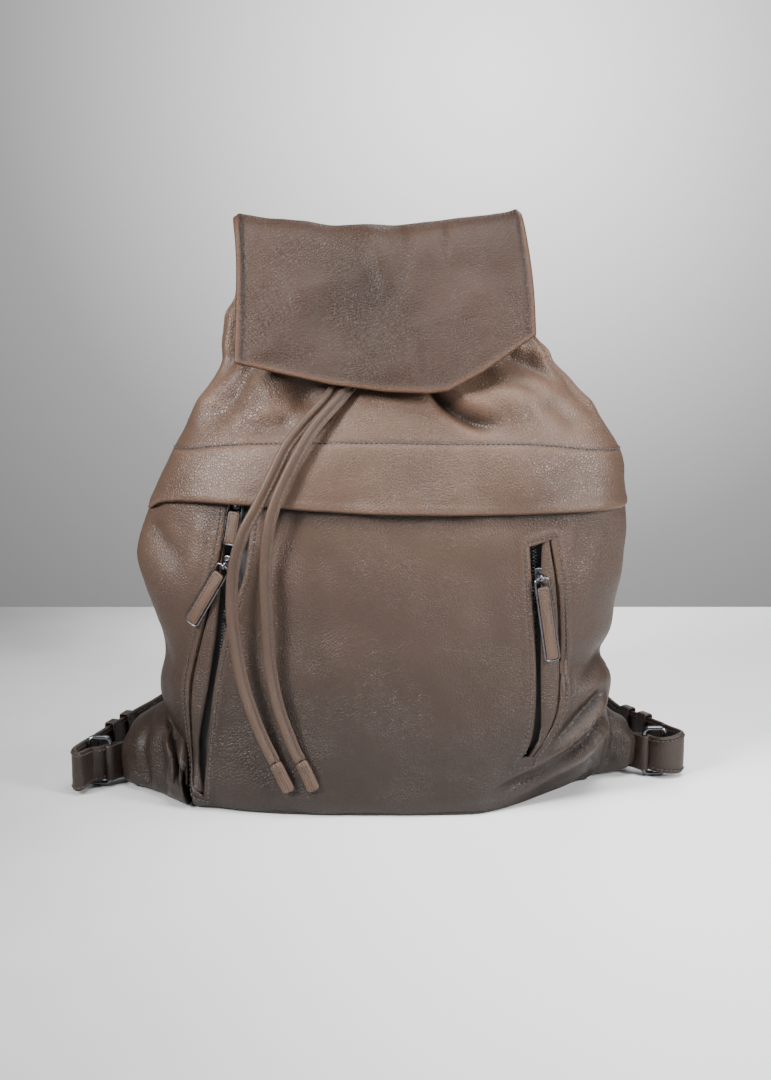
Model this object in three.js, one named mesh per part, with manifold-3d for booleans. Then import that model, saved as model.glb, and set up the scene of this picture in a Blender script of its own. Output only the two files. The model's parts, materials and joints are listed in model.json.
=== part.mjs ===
// Soft leather backpack: drawstring neck, fold-over flap, two zipped front pockets,
// two adjustable shoulder straps. Millimetres, +Z up, the wearer's back towards +Y.
// The origin is on the floor, in the middle of the base.
import * as THREE from 'three';
import { mergeVertices } from 'three/addons/utils/BufferGeometryUtils.js';
import Module from 'manifold-3d';

const wasm = await Module();
wasm.setup();

// ---------------------------------------------------------------- driving dimensions
const LEATHER = 2.0;            // one panel of body leather
const GAP = 0.4;                // clearance between neighbouring pieces
const HEM_RISE = 20;            // how far the yoke's hem is turned up inside
const YOKE_EDGE = 196;          // height of the yoke's lower edge at the front
const YOKE_STANDOFF = 5.9;      // how far the doubled hem stands off the lower panel
const PANEL_TOP = 222;          // where the lower panels end, behind the yoke
const NECK_TOP = 350;           // rim of the mouth
const LINING_TOP = 262;
const FLAP_HALF_WIDTH = 91;
const FLAP_THICKNESS = 3.2;     // two leathers, flesh sides together
const STRAP_WIDTH = 28;
const STRAP_THICKNESS = 3.2;
const PAD_WIDTH = 38;
const PAD_THICKNESS = 7;
const RING_WIRE = 3.2;
const LACE_WIDTH = 7.6;
const LACE_THICKNESS = 4;
const WINDOW_WIDTH = 18;
const PULLER_WIDTH = 10.8;

// Horizontal sections of the body: left, right, front and back reach at a height, and
// the power of the superellipse that joins them.
const BODY_SECTIONS = [
  { z: 0, left: -141, right: 139, front: -66, back: 60, power: 2.7 },
  { z: 14, left: -151, right: 149, front: -72, back: 68, power: 2.7 },
  { z: 60, left: -153, right: 154, front: -73, back: 68, power: 2.6 },
  { z: 95, left: -149, right: 150, front: -71, back: 64, power: 2.5 },
  { z: 150, left: -161, right: 157, front: -69, back: 55, power: 2.4 },
  { z: 190, left: -151, right: 154, front: -66, back: 46, power: 2.4 },
  { z: 220, left: -136, right: 147, front: -61, back: 39, power: 2.3 },
  { z: 245, left: -117, right: 133, front: -54, back: 33, power: 2.3 },
  { z: 265, left: -106, right: 118, front: -47, back: 28, power: 2.3 },
  { z: 285, left: -103, right: 104, front: -38, back: 24, power: 2.3 },
  { z: 320, left: -99, right: 98, front: -25, back: 19, power: 2.4 },
  { z: 352, left: -93, right: 89, front: -15, back: 16, power: 2.5 },
];

const SLOTS = {
  leather: { color: 0x7d6a60, roughness: 0.55, metalness: 0 },
  edge: { color: 0x4a3b34, roughness: 0.7, metalness: 0 },
  lining: { color: 0x3b3432, roughness: 0.9, metalness: 0 },
  zip: { color: 0x17171a, roughness: 0.8, metalness: 0 },
  metal: { color: 0x55565c, roughness: 0.3, metalness: 1 },
  board: { color: 0x2a2a2a, roughness: 0.8, metalness: 0 },
};

const backpack = new THREE.Group();

// ---------------------------------------------------------------- solid making
function signedVolume(geometry) {
  const p = geometry.attributes.position;
  const index = geometry.index.array;
  const [a, b, c] = [new THREE.Vector3(), new THREE.Vector3(), new THREE.Vector3()];
  let volume = 0;
  for (let i = 0; i < index.length; i += 3) {
    a.fromBufferAttribute(p, index[i]);
    b.fromBufferAttribute(p, index[i + 1]);
    c.fromBufferAttribute(p, index[i + 2]);
    volume += a.dot(b.cross(c)) / 6;
  }
  return volume;
}

function solidFrom(points, triangles) {
  const geometry = new THREE.BufferGeometry();
  const flat = points.flatMap((p) => [p.x, p.y, p.z]);
  geometry.setAttribute('position', new THREE.Float32BufferAttribute(flat, 3));
  geometry.setIndex(triangles.flat());
  if (signedVolume(geometry) < 0) geometry.setIndex(triangles.map(([a, b, c]) => [a, c, b]).flat());
  return geometry;
}

// A sheet with an outer and an inner face, each a function of u and v from 0 to 1.
function sheetSolid(columns, rows, outer, inner, wrap = false) {
  const across = wrap ? columns : columns + 1;
  const points = [];
  for (const face of [outer, inner]) {
    for (let j = 0; j <= rows; j++) {
      for (let i = 0; i < across; i++) points.push(face(i / columns, j / rows));
    }
  }
  const layer = across * (rows + 1);
  const at = (side, i, j) => side * layer + j * across + (i % across);
  const triangles = [];
  const quad = (a, b, c, d) => triangles.push([a, b, c], [a, c, d]);
  for (let i = 0; i < columns; i++) {
    for (let j = 0; j < rows; j++) {
      quad(at(0, i, j), at(0, i + 1, j), at(0, i + 1, j + 1), at(0, i, j + 1));
      quad(at(1, i, j), at(1, i, j + 1), at(1, i + 1, j + 1), at(1, i + 1, j));
    }
    quad(at(0, i, 0), at(1, i, 0), at(1, i + 1, 0), at(0, i + 1, 0));
    quad(at(0, i, rows), at(0, i + 1, rows), at(1, i + 1, rows), at(1, i, rows));
  }
  for (let j = 0; j < rows && !wrap; j++) {
    quad(at(0, 0, j), at(0, 0, j + 1), at(1, 0, j + 1), at(1, 0, j));
    quad(at(0, columns, j), at(1, columns, j), at(1, columns, j + 1), at(0, columns, j + 1));
  }
  return solidFrom(points, triangles);
}

// A stack of rings with the same number of points, closed by a fan at each end.
function loftSolid(rings) {
  const sides = rings[0].length;
  const points = rings.flat();
  const triangles = [];
  for (let r = 0; r + 1 < rings.length; r++) {
    for (let i = 0; i < sides; i++) {
      const k = (i + 1) % sides;
      const [a, b, c, d] = [r * sides + i, r * sides + k, (r + 1) * sides + k, (r + 1) * sides + i];
      triangles.push([a, b, c], [a, c, d]);
    }
  }
  for (const [ring, first] of [[rings[0], 0], [rings.at(-1), (rings.length - 1) * sides]]) {
    const centre = ring.reduce((sum, p) => sum.add(p), new THREE.Vector3()).divideScalar(sides);
    const hub = points.push(centre) - 1;
    for (let i = 0; i < sides; i++) {
      const k = first + ((i + 1) % sides);
      triangles.push(first === 0 ? [hub, k, first + i] : [hub, first + i, k]);
    }
  }
  return solidFrom(points, triangles);
}

// A flat section swept along a smooth line; each station has a place, the direction of
// its width and that width. sides 4 gives a strap, 8 or more a rounded lace.
function sweepSolid(stations, thickness, steps, sides = 4) {
  const middle = stations.map((s) => new THREE.Vector3(...s.at));
  const curve = new THREE.CatmullRomCurve3(middle, false, 'centripetal');
  const rings = [];
  for (let k = 0; k <= steps; k++) {
    const t = k / steps;
    const place = t * (stations.length - 1);
    const i = Math.min(Math.floor(place), stations.length - 2);
    const mix = place - i;
    const along = curve.getTangent(t);
    const across = new THREE.Vector3(...stations[i].across)
      .lerp(new THREE.Vector3(...stations[i + 1].across), mix);
    across.addScaledVector(along, -across.dot(along)).normalize();
    const up = new THREE.Vector3().crossVectors(along, across);
    const width = THREE.MathUtils.lerp(stations[i].width, stations[i + 1].width, mix);
    const centre = curve.getPoint(t);
    const reach = sides === 4 ? Math.SQRT2 : 1;
    rings.push(Array.from({ length: sides }, (_, n) => {
      const angle = ((n + 0.5) / sides) * Math.PI * 2;
      return centre.clone()
        .addScaledVector(across, (Math.cos(angle) * reach * width) / 2)
        .addScaledVector(up, (Math.sin(angle) * reach * thickness) / 2);
    }));
  }
  return loftSolid(rings);
}

function toManifold(geometry) {
  const bare = geometry.clone();
  bare.deleteAttribute('normal');
  bare.deleteAttribute('uv');
  const merged = mergeVertices(bare, 1e-4);
  return new wasm.Manifold(new wasm.Mesh({
    numProp: 3,
    vertProperties: new Float32Array(merged.attributes.position.array),
    triVerts: new Uint32Array(merged.index.array),
  }));
}

function toGeometry(manifold) {
  const mesh = manifold.getMesh();
  const geometry = new THREE.BufferGeometry();
  geometry.setAttribute('position', new THREE.Float32BufferAttribute(mesh.vertProperties, 3));
  geometry.setIndex(Array.from(mesh.triVerts));
  return geometry;
}

const join = (...solids) => toGeometry(solids.map(toManifold).reduce((a, b) => a.add(b)));
const cut = (solid, ...tools) => toGeometry(
  tools.map(toManifold).reduce((a, b) => a.subtract(b), toManifold(solid)),
);
const common = (a, b) => toGeometry(toManifold(a).intersect(toManifold(b)));

// A flat outline in x and y, pushed from height z0 to z1.
function prism(shape, z0, z1) {
  const options = { depth: z1 - z0, bevelEnabled: false, curveSegments: 2 };
  return new THREE.ExtrudeGeometry(shape, options).translate(0, 0, z0);
}

function roundedRectangle(x0, x1, y0, y1, radius) {
  const shape = new THREE.Shape();
  shape.moveTo(x0 + radius, y0);
  shape.lineTo(x1 - radius, y0);
  shape.absarc(x1 - radius, y0 + radius, radius, -Math.PI / 2, 0);
  shape.lineTo(x1, y1 - radius);
  shape.absarc(x1 - radius, y1 - radius, radius, 0, Math.PI / 2);
  shape.lineTo(x0 + radius, y1);
  shape.absarc(x0 + radius, y1 - radius, radius, Math.PI / 2, Math.PI);
  shape.lineTo(x0, y0 + radius);
  shape.absarc(x0 + radius, y0 + radius, radius, Math.PI, Math.PI * 1.5);
  return shape;
}

function withHole(shape, hole) {
  shape.holes.push(hole);
  return shape;
}

function add(name, geometry, slot, parent = backpack) {
  const mesh = new THREE.Mesh(geometry, new THREE.MeshStandardMaterial(SLOTS[slot]));
  mesh.name = name;
  parent.add(mesh);
  return mesh;
}

// ---------------------------------------------------------------- the body's surface
function bodySection(z) {
  const last = BODY_SECTIONS.length - 1;
  let i = BODY_SECTIONS.findIndex((s) => s.z > z) - 1;
  if (i < 0) i = z <= 0 ? 0 : last - 1;
  const [before, a, b, after] = [-1, 0, 1, 2].map((k) => BODY_SECTIONS[Math.min(Math.max(i + k, 0), last)]);
  const t = THREE.MathUtils.clamp((z - a.z) / (b.z - a.z), 0, 1);
  const blend = (key) => {
    const slopeA = (b[key] - before[key]) / (b.z - before.z || 1) * (b.z - a.z);
    const slopeB = (after[key] - a[key]) / (after.z - a.z || 1) * (b.z - a.z);
    return (2 * t ** 3 - 3 * t ** 2 + 1) * a[key] + (t ** 3 - 2 * t ** 2 + t) * slopeA
      + (3 * t ** 2 - 2 * t ** 3) * b[key] + (t ** 3 - t ** 2) * slopeB;
  };
  const [left, right, front, back, power] = ['left', 'right', 'front', 'back', 'power'].map(blend);
  return {
    x: (left + right) / 2,
    y: (front + back) / 2,
    a: (right - left) / 2,
    b: (back - front) / 2,
    power,
  };
}

// angle 0 is the right side, a quarter turn is the front, a half turn the left side.
function bodyPoint(angle, z, offset = 0) {
  const s = bodySection(z);
  const bend = (value) => Math.sign(value) * Math.abs(value) ** (2 / s.power);
  return new THREE.Vector3(
    s.x + (s.a + offset) * bend(Math.cos(angle)),
    s.y - (s.b + offset) * bend(Math.sin(angle)),
    z,
  );
}

function frontY(x, z) {
  const s = bodySection(z);
  return s.y - s.b * (1 - Math.min(Math.abs((x - s.x) / s.a), 1) ** s.power) ** (1 / s.power);
}

// How far the front of the body leans back from upright, as an angle.
const frontLean = (x, z) => Math.atan2(frontY(x, z + 3) - frontY(x, z - 3), 6);

// A panel of the body between two angles. bottom and top give its edges at an angle,
// offset how far its outer face stands off the body's surface at a height.
function bodyPanel({ from, to, bottom, top, columns, rows, offset = () => 0, thickness = LEATHER, wrap }) {
  const face = (sunk) => (u, v) => {
    const angle = THREE.MathUtils.lerp(from, to, u);
    const z = THREE.MathUtils.lerp(bottom(angle), top(angle), v);
    return bodyPoint(angle, z, offset(z) - sunk);
  };
  return sheetSolid(columns, rows, face(0), face(thickness), wrap);
}

const SEAM = 0.003;                        // half the side seam's gap, as an angle
const FRONT = { from: SEAM, to: Math.PI - SEAM };
const BACK = { from: Math.PI + SEAM, to: 2 * Math.PI - SEAM };
const constant = (value) => () => value;
const LOWER_PANEL = { bottom: constant(2.9), top: constant(PANEL_TOP), columns: 20, rows: 9 };

// The yoke stands off the lower panel where its hem doubles it, and settles above it.
const yokeOffset = (z) => YOKE_STANDOFF * (1 - THREE.MathUtils.smoothstep(z, 224, 262));
// The yoke's lower edge drops where it meets both side seams.
const yokeEdge = (angle) => YOKE_EDGE - 14 * Math.abs(Math.cos(angle)) ** 6;

// ---------------------------------------------------------------- pockets
// A pocket's own frame: x across the zip, y up along it, z straight out of the leather.
function pocketFrame({ low, high }) {
  const at = (x, z) => new THREE.Vector3(x, frontY(x, z), z);
  const middle = { x: (low.x + high.x) / 2, z: (low.z + high.z) / 2 };
  const up = at(high.x, high.z).sub(at(low.x, low.z)).normalize();
  const side = at(middle.x + 9, middle.z).sub(at(middle.x - 9, middle.z));
  const out = new THREE.Vector3().crossVectors(side, up).normalize();
  side.crossVectors(up, out);
  const origin = at(middle.x, middle.z);
  const line = [...Array(11).keys()].map((k) => at(
    THREE.MathUtils.lerp(low.x, high.x, k / 10), THREE.MathUtils.lerp(low.z, high.z, k / 10)));
  const bulge = Math.max(...line.map((p) => p.clone().sub(origin).dot(out)));
  origin.addScaledVector(out, bulge + 0.3);
  return new THREE.Matrix4().makeBasis(side, up, out).setPosition(origin);
}

// low and high are the ends of the zip; chain is its place across the window. A slider
// runs on a stretch of the zip, given as shares of its length, and rests at its upper
// end. bail is the height of its bail; tilt and length are its puller's.
const POCKETS = [
  {
    side: 'right', low: { x: 98, z: 35 }, high: { x: 98, z: 176 }, chain: -3.2,
    sliders: [{ name: 'right', stretch: [0.08, 0.83], bail: 4.2, tilt: 0.16, length: 54 }],
  },
  {
    side: 'left', low: { x: -121, z: 14 }, high: { x: -93, z: 213 }, chain: 3.2,
    sliders: [
      { name: 'left_upper', stretch: [0.78, 0.93], bail: 1, tilt: -0.02, length: 27.5 },
      { name: 'left_lower', stretch: [0.08, 0.735], bail: 4.2, tilt: -0.42, length: 46 },
    ],
  },
];
for (const pocket of POCKETS) {
  const { low, high } = pocket;
  const place = (share) => ({
    x: THREE.MathUtils.lerp(low.x, high.x, share), z: THREE.MathUtils.lerp(low.z, high.z, share),
  });
  pocket.frame = pocketFrame(pocket);
  pocket.half = Math.hypot(high.x - low.x, frontY(high.x, high.z) - frontY(low.x, low.z), high.z - low.z) / 2;
  for (const slider of pocket.sliders) {
    slider.frame = pocketFrame({ low: place(slider.stretch[0]), high: place(slider.stretch[1]) });
    slider.rest = (slider.stretch[1] - slider.stretch[0]) * pocket.half;
  }
}

// A straight-sided solid through the body's face, on a rectangle of a pocket's frame.
function pocketPrism(pocket, x0, x1, grow, corner = 4, z0 = -22, z1 = 22) {
  const shape = roundedRectangle(x0, x1, -pocket.half - grow, pocket.half + grow, corner);
  return prism(shape, z0, z1).applyMatrix4(pocket.frame);
}
const windowPrism = (pocket, grow) => pocketPrism(
  pocket, -WINDOW_WIDTH / 2 - grow, WINDOW_WIDTH / 2 + grow, grow,
);

// The part of a layer under the body's face that lies inside a solid. depth counts inwards.
function faceLayer(depth, thickness, solid) {
  const layer = bodyPanel({
    ...FRONT, ...LOWER_PANEL, offset: constant(-depth), thickness,
  });
  return common(layer, solid);
}

// Depths below the leather's face.
const FACING = { depth: LEATHER + GAP, thickness: 1 };
const WELT = { depth: 2.6, thickness: 2.2 };
const CHAIN = { depth: 4.6, thickness: 1.6, width: 4 };
const TAPE = { depth: 6.8, thickness: 0.8 };
const POCKET_BAG = { depth: 8, thickness: 1.6, reach: 18 };
const SLIDER = { back: -3.3, front: -1.6, width: 6.6, length: 11 };

function sliderSolid(pocket, slider) {
  const half = SLIDER.length / 2;
  const body = prism(roundedRectangle(-SLIDER.width / 2, SLIDER.width / 2, -half, half, 1.6),
    SLIDER.back, SLIDER.front);
  const arch = withHole(roundedRectangle(-4.4, 2.6, SLIDER.front - 0.6, slider.bail, 0.8),
    roundedRectangle(-3.4, 1.6, slider.bail - 2.9, slider.bail - 0.8, 0.4));
  const bail = prism(arch, -1.3, 1.3);
  bail.applyMatrix4(new THREE.Matrix4().makeBasis(
    new THREE.Vector3(0, 1, 0), new THREE.Vector3(0, 0, 1), new THREE.Vector3(1, 0, 0)));
  return join(body, bail).translate(pocket.chain, slider.rest, 0);
}

// The puller hangs from the slider's bail: a bent metal frame round a leather tab.
function pullerGroup(pocket, slider) {
  const group = new THREE.Group();
  group.position.set(pocket.chain, slider.rest - 0.9, slider.bail - 1.85);
  group.rotation.z = slider.tilt;
  const half = PULLER_WIDTH / 2;
  const wire = 1.2;
  const end = wire / 2 - slider.length;
  const frame = withHole(roundedRectangle(-half, half, end, wire / 2, 2.4),
    roundedRectangle(-half + wire, half - wire, end + wire, -wire / 2, 1.4));
  add(`${slider.name}_puller_frame`, prism(frame, -wire / 2, wire / 2), 'metal', group);
  const tab = roundedRectangle(-half + wire + GAP, half - wire - GAP, end + wire + GAP, -7, 1.2);
  add(`${slider.name}_puller_leather`, prism(tab, -0.9, 0.9), 'leather', group);
  return group;
}

function buildPocket(pocket) {
  const { side, chain } = pocket;
  const rim = cut(windowPrism(pocket, 4.6), windowPrism(pocket, 0.2));
  add(`${side}_pocket_facing`, faceLayer(FACING.depth, FACING.thickness, rim), 'leather');
  const strip = (x0, x1) => pocketPrism(pocket, Math.min(x0, x1), Math.max(x0, x1), -1.8, 2);
  const away = -Math.sign(chain);
  add(`${side}_zip_welt`, faceLayer(WELT.depth, WELT.thickness, strip(away * 1.2, away * 8)), 'leather');
  add(`${side}_zip_chain`, faceLayer(CHAIN.depth, CHAIN.thickness,
    strip(chain - CHAIN.width / 2, chain + CHAIN.width / 2)), 'metal');
  add(`${side}_zip_tape`, faceLayer(TAPE.depth, TAPE.thickness, pocketPrism(pocket, -12, 12, 2)), 'zip');
  // The empty pocket bag lies flat behind the tape.
  const { depth, thickness, reach } = POCKET_BAG;
  const bag = pocketPrism(pocket, chain * 1.6 - reach, chain * 1.6 + reach, 3, 6);
  add(`${side}_pocket_bag`, faceLayer(depth, thickness, bag), 'lining');
  for (const slider of pocket.sliders) {
    const group = new THREE.Group();
    slider.frame.decompose(group.position, group.quaternion, group.scale);
    add(`${slider.name}_slider`, sliderSolid(pocket, slider), 'metal', group);
    group.add(pullerGroup(pocket, slider));
    backpack.add(group);
  }
}

// ---------------------------------------------------------------- body shell
add('front_panel', cut(bodyPanel({ ...FRONT, ...LOWER_PANEL }),
  ...POCKETS.map((pocket) => windowPrism(pocket, 0))), 'leather');
add('back_panel', bodyPanel({ ...BACK, ...LOWER_PANEL, columns: 16 }), 'leather');
POCKETS.forEach(buildPocket);

add('front_yoke', bodyPanel({
  ...FRONT, bottom: yokeEdge, top: constant(NECK_TOP), columns: 20, rows: 12, offset: yokeOffset,
}), 'leather');
add('yoke_hem', bodyPanel({
  ...FRONT, bottom: (angle) => yokeEdge(angle) + 0.5, top: constant(YOKE_EDGE + HEM_RISE),
  columns: 20, rows: 2,
  offset: (z) => yokeOffset(z) - LEATHER - GAP, thickness: 1.2,
}), 'leather');
add('back_yoke', bodyPanel({
  ...BACK, bottom: constant(PANEL_TOP + GAP), top: constant(NECK_TOP), columns: 16, rows: 6,
}), 'leather');

const fullTurn = { from: 0, to: 2 * Math.PI, wrap: true };
add('neck_facing', bodyPanel({
  ...fullTurn, bottom: constant(268), top: constant(NECK_TOP - 2), columns: 24, rows: 4,
  offset: constant(-10), thickness: 1.2,
}), 'leather');

const bodyRing = (z, inset, count) => Array.from({ length: count },
  (_, i) => bodyPoint((i / count) * 2 * Math.PI, z, -inset));
add('base_panel', loftSolid([
  bodyRing(0, 2, 40), bodyRing(0, 0, 40).map((p) => p.setZ(0.8)), bodyRing(0, 0, 40).map((p) => p.setZ(2.4)),
]), 'leather');
add('base_board', loftSolid([
  bodyRing(0, 6, 32).map((p) => p.setZ(2.8)), bodyRing(0, 6, 32).map((p) => p.setZ(4.8)),
]), 'board');

// The lining hangs inside as an open bag, clear of the pocket bags at the front.
function liningRing(z, inset) {
  const s = bodySection(z);
  const depth = THREE.MathUtils.lerp(13.5, 4, THREE.MathUtils.smoothstep(z, 214, 240));
  const flatten = (p) => {
    const front = Math.max(0, (s.y - p.y) / s.b);
    return p.setY(p.y + front * (depth - 4));
  };
  const side = THREE.MathUtils.lerp(15, 4, THREE.MathUtils.smoothstep(z, 214, 244));
  return Array.from({ length: 28 }, (_, i) => {
    const angle = (i / 28) * 2 * Math.PI;
    const p = flatten(bodyPoint(angle, z, -4 - inset));
    return p.setX(s.x + (p.x - s.x) * (1 - (side - 4) / s.a));
  });
}
const liningHeights = [5.4, 50, 100, 150, 205, 230, 246, LINING_TOP];
add('lining', loftSolid([
  ...liningHeights.map((z) => liningRing(z, 0)),
  ...liningHeights.toReversed().map((z) => liningRing(Math.max(z, 6.6), 1.2)),
]), 'lining');

// ---------------------------------------------------------------- drawstring
const CHANNEL_Z = 281;
const loop = bodyRing(CHANNEL_Z, 4.9, 36);
add('drawstring_loop', (() => {
  const middle = bodySection(CHANNEL_Z);
  const tube = loop.map((p, i) => {
    const out = new THREE.Vector3(p.x - middle.x, p.y - middle.y, 0);
    const before = loop[(i + loop.length - 1) % loop.length];
    const along = loop[(i + 1) % loop.length].clone().sub(before).normalize();
    const normal = new THREE.Vector3(along.y, -along.x, 0);
    if (normal.dot(out) < 0) normal.negate();
    return { p, normal };
  });
  const sides = 6;
  return sheetSolid(tube.length, sides / 2,
    (u, v) => tubePoint(tube, u, v, 1), (u, v) => tubePoint(tube, u, v, -1), true);
})(), 'leather');

// A point on the round loop: side 1 is its outer half, side -1 its inner half.
function tubePoint(tube, u, v, side) {
  const { p, normal } = tube[Math.round(u * tube.length) % tube.length];
  const angle = (v - 0.5) * Math.PI * 0.98;
  return p.clone()
    .addScaledVector(normal, side * 1.9 * Math.cos(angle))
    .add(new THREE.Vector3(0, 0, 1.9 * Math.sin(angle)));
}

// Both free ends of the lace, each from its eyelet to its stitched tip.
const LACES = [
  {
    side: 'left', eyelet: { x: -25, z: 281 },
    route: [
      [-25, -43.5, 280.6], [-25.4, -46.4, 279.2], [-27, -48.6, 275], [-31, -51.4, 267.5], [-39, -57, 257.5],
      [-50, -62.6, 246], [-59.5, -67.8, 234], [-69.5, -72, 214], [-77.5, -74, 198], [-86.5, -75.4, 181],
      [-92.5, -75.2, 159], [-94, -74.8, 134], [-92, -74.6, 112], [-88, -75, 88], [-79.5, -75.8, 61],
      [-69, -76.2, 37],
    ],
    tip: [[-68.8, -76.2, 36.6], [-66, -76.2, 31], [-60, -76, 18]],
  },
  {
    side: 'right', eyelet: { x: -13, z: 281 },
    route: [
      [-13, -44, 280.6], [-13.6, -47, 279], [-16.5, -49.6, 274.5], [-23, -53, 267], [-32, -58.6, 257],
      [-42, -64.5, 246], [-50, -69.6, 234], [-60.5, -73.8, 214], [-66.5, -75.6, 200], [-70.5, -76.5, 185],
      [-73, -76.4, 161], [-72.5, -76, 128], [-71, -76.4, 100], [-66, -76.8, 73], [-57.5, -76.8, 48],
      [-53, -76.6, 38],
    ],
    tip: [[-52.8, -76.6, 37.6], [-50, -76.6, 32], [-44.5, -76.4, 19]],
  },
];
for (const lace of LACES) {
  const flat = (points) => points.map((at) => ({ at, across: [1, 0, -0.5], width: LACE_WIDTH }));
  add(`drawstring_${lace.side}`, sweepSolid(flat(lace.route), LACE_THICKNESS, 32, 8), 'leather');
  add(`drawstring_${lace.side}_tip`, sweepSolid(flat(lace.tip), LACE_THICKNESS + 0.8, 4, 8), 'leather');
  const { x, z } = lace.eyelet;
  const eyelet = new THREE.LatheGeometry([
    new THREE.Vector2(2.8, 0), new THREE.Vector2(5.2, 0), new THREE.Vector2(5.2, 1),
    new THREE.Vector2(4.4, 1.6), new THREE.Vector2(2.8, 1.6), new THREE.Vector2(2.8, 0),
  ], 14);
  eyelet.rotateX(Math.PI - frontLean(x, z));
  add(`eyelet_${lace.side}`, eyelet.translate(x, frontY(x, z) - 0.5, z), 'metal');
}

// ---------------------------------------------------------------- flap
// The flap's run, seen from the side: up from its seam on the back, over, and down.
const FLAP_RUN = new THREE.CatmullRomCurve3([
  [24.6, 322], [24, 338], [20.8, 352], [12.5, 361.5], [1, 364.8], [-10.5, 361], [-19.5, 351],
  [-28.5, 334], [-38.5, 313], [-49, 292], [-58, 272], [-61.5, 262],
].map(([y, z]) => new THREE.Vector3(0, y, z)), false, 'centripetal');
// Lower edge of the flap: corners high, a blunt point low and right of the middle.
const FLAP_EDGE = [[-91, 284], [-60, 277], [-34, 271.5], [0, 267], [34, 266], [58, 278], [91, 300]];

function flapEdge(x) {
  const i = Math.max(1, FLAP_EDGE.findIndex(([right]) => right >= x));
  const [[x0, z0], [x1, z1]] = [FLAP_EDGE[i - 1], FLAP_EDGE[i]];
  return THREE.MathUtils.mapLinear(x, x0, x1, z0, z1);
}

// Share of the run, on its way down the front, at which it reaches a height.
function runAtHeight(height) {
  let [low, high] = [0.5, 1];
  for (let n = 0; n < 30; n++) {
    const middle = (low + high) / 2;
    if (FLAP_RUN.getPointAt(middle).z > height) low = middle;
    else high = middle;
  }
  return low;
}

function flapFace(sunk, start, end) {
  return (u, v) => {
    const x = THREE.MathUtils.lerp(-FLAP_HALF_WIDTH, FLAP_HALF_WIDTH, u);
    const t = THREE.MathUtils.lerp(start, end ?? runAtHeight(flapEdge(x)), v);
    const along = FLAP_RUN.getTangentAt(t);
    const ear = 7 * (Math.abs(x) / FLAP_HALF_WIDTH) ** 3 * Math.exp(-(((t - 0.3) / 0.16) ** 2));
    return FLAP_RUN.getPointAt(t)
      .add(new THREE.Vector3(x, -along.z * sunk, along.y * sunk + ear));
  };
}
const FLAP_SPLIT = 0.30;
add('flap_seam_strip', sheetSolid(14, 5, flapFace(0, 0, FLAP_SPLIT),
  flapFace(FLAP_THICKNESS, 0, FLAP_SPLIT)), 'leather');
add('flap', sheetSolid(14, 10, flapFace(0, FLAP_SPLIT + 0.004),
  flapFace(FLAP_THICKNESS / 2, FLAP_SPLIT + 0.004)), 'leather');
add('flap_lining', sheetSolid(14, 10, flapFace(FLAP_THICKNESS / 2 + 0.3, FLAP_SPLIT + 0.004),
  flapFace(FLAP_THICKNESS, FLAP_SPLIT + 0.004)), 'leather');

// A thin magnetic snap: the stud under the flap, the plate on the yoke.
const SNAP_Z = 292;
const snapDisc = (radius, thickness) => new THREE.CylinderGeometry(radius, radius, thickness, 16)
  .rotateX(-frontLean(0, SNAP_Z));
add('snap_plate', snapDisc(8, 2).translate(0, frontY(0, SNAP_Z) - 1.7, SNAP_Z), 'metal');
add('snap_stud', snapDisc(7, 2).translate(0, frontY(0, SNAP_Z) - 5, SNAP_Z + 1), 'metal');

// ---------------------------------------------------------------- shoulder straps
const UP = [0, 0, 1];
const SIDES = [
  { side: 'left', sign: -1, ring: { x: 184, y: -14 }, fold: { x: 202, y: -30 }, leg: [[194, 2], [175, 58]] },
  { side: 'right', sign: 1, ring: { x: 176, y: 6 }, fold: { x: 198, y: 6 }, leg: [[190, 26], [164, 68]] },
];
const STRAP_MID = STRAP_WIDTH / 2 + 2.6;     // height of the strap's middle where it stands on edge

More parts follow.
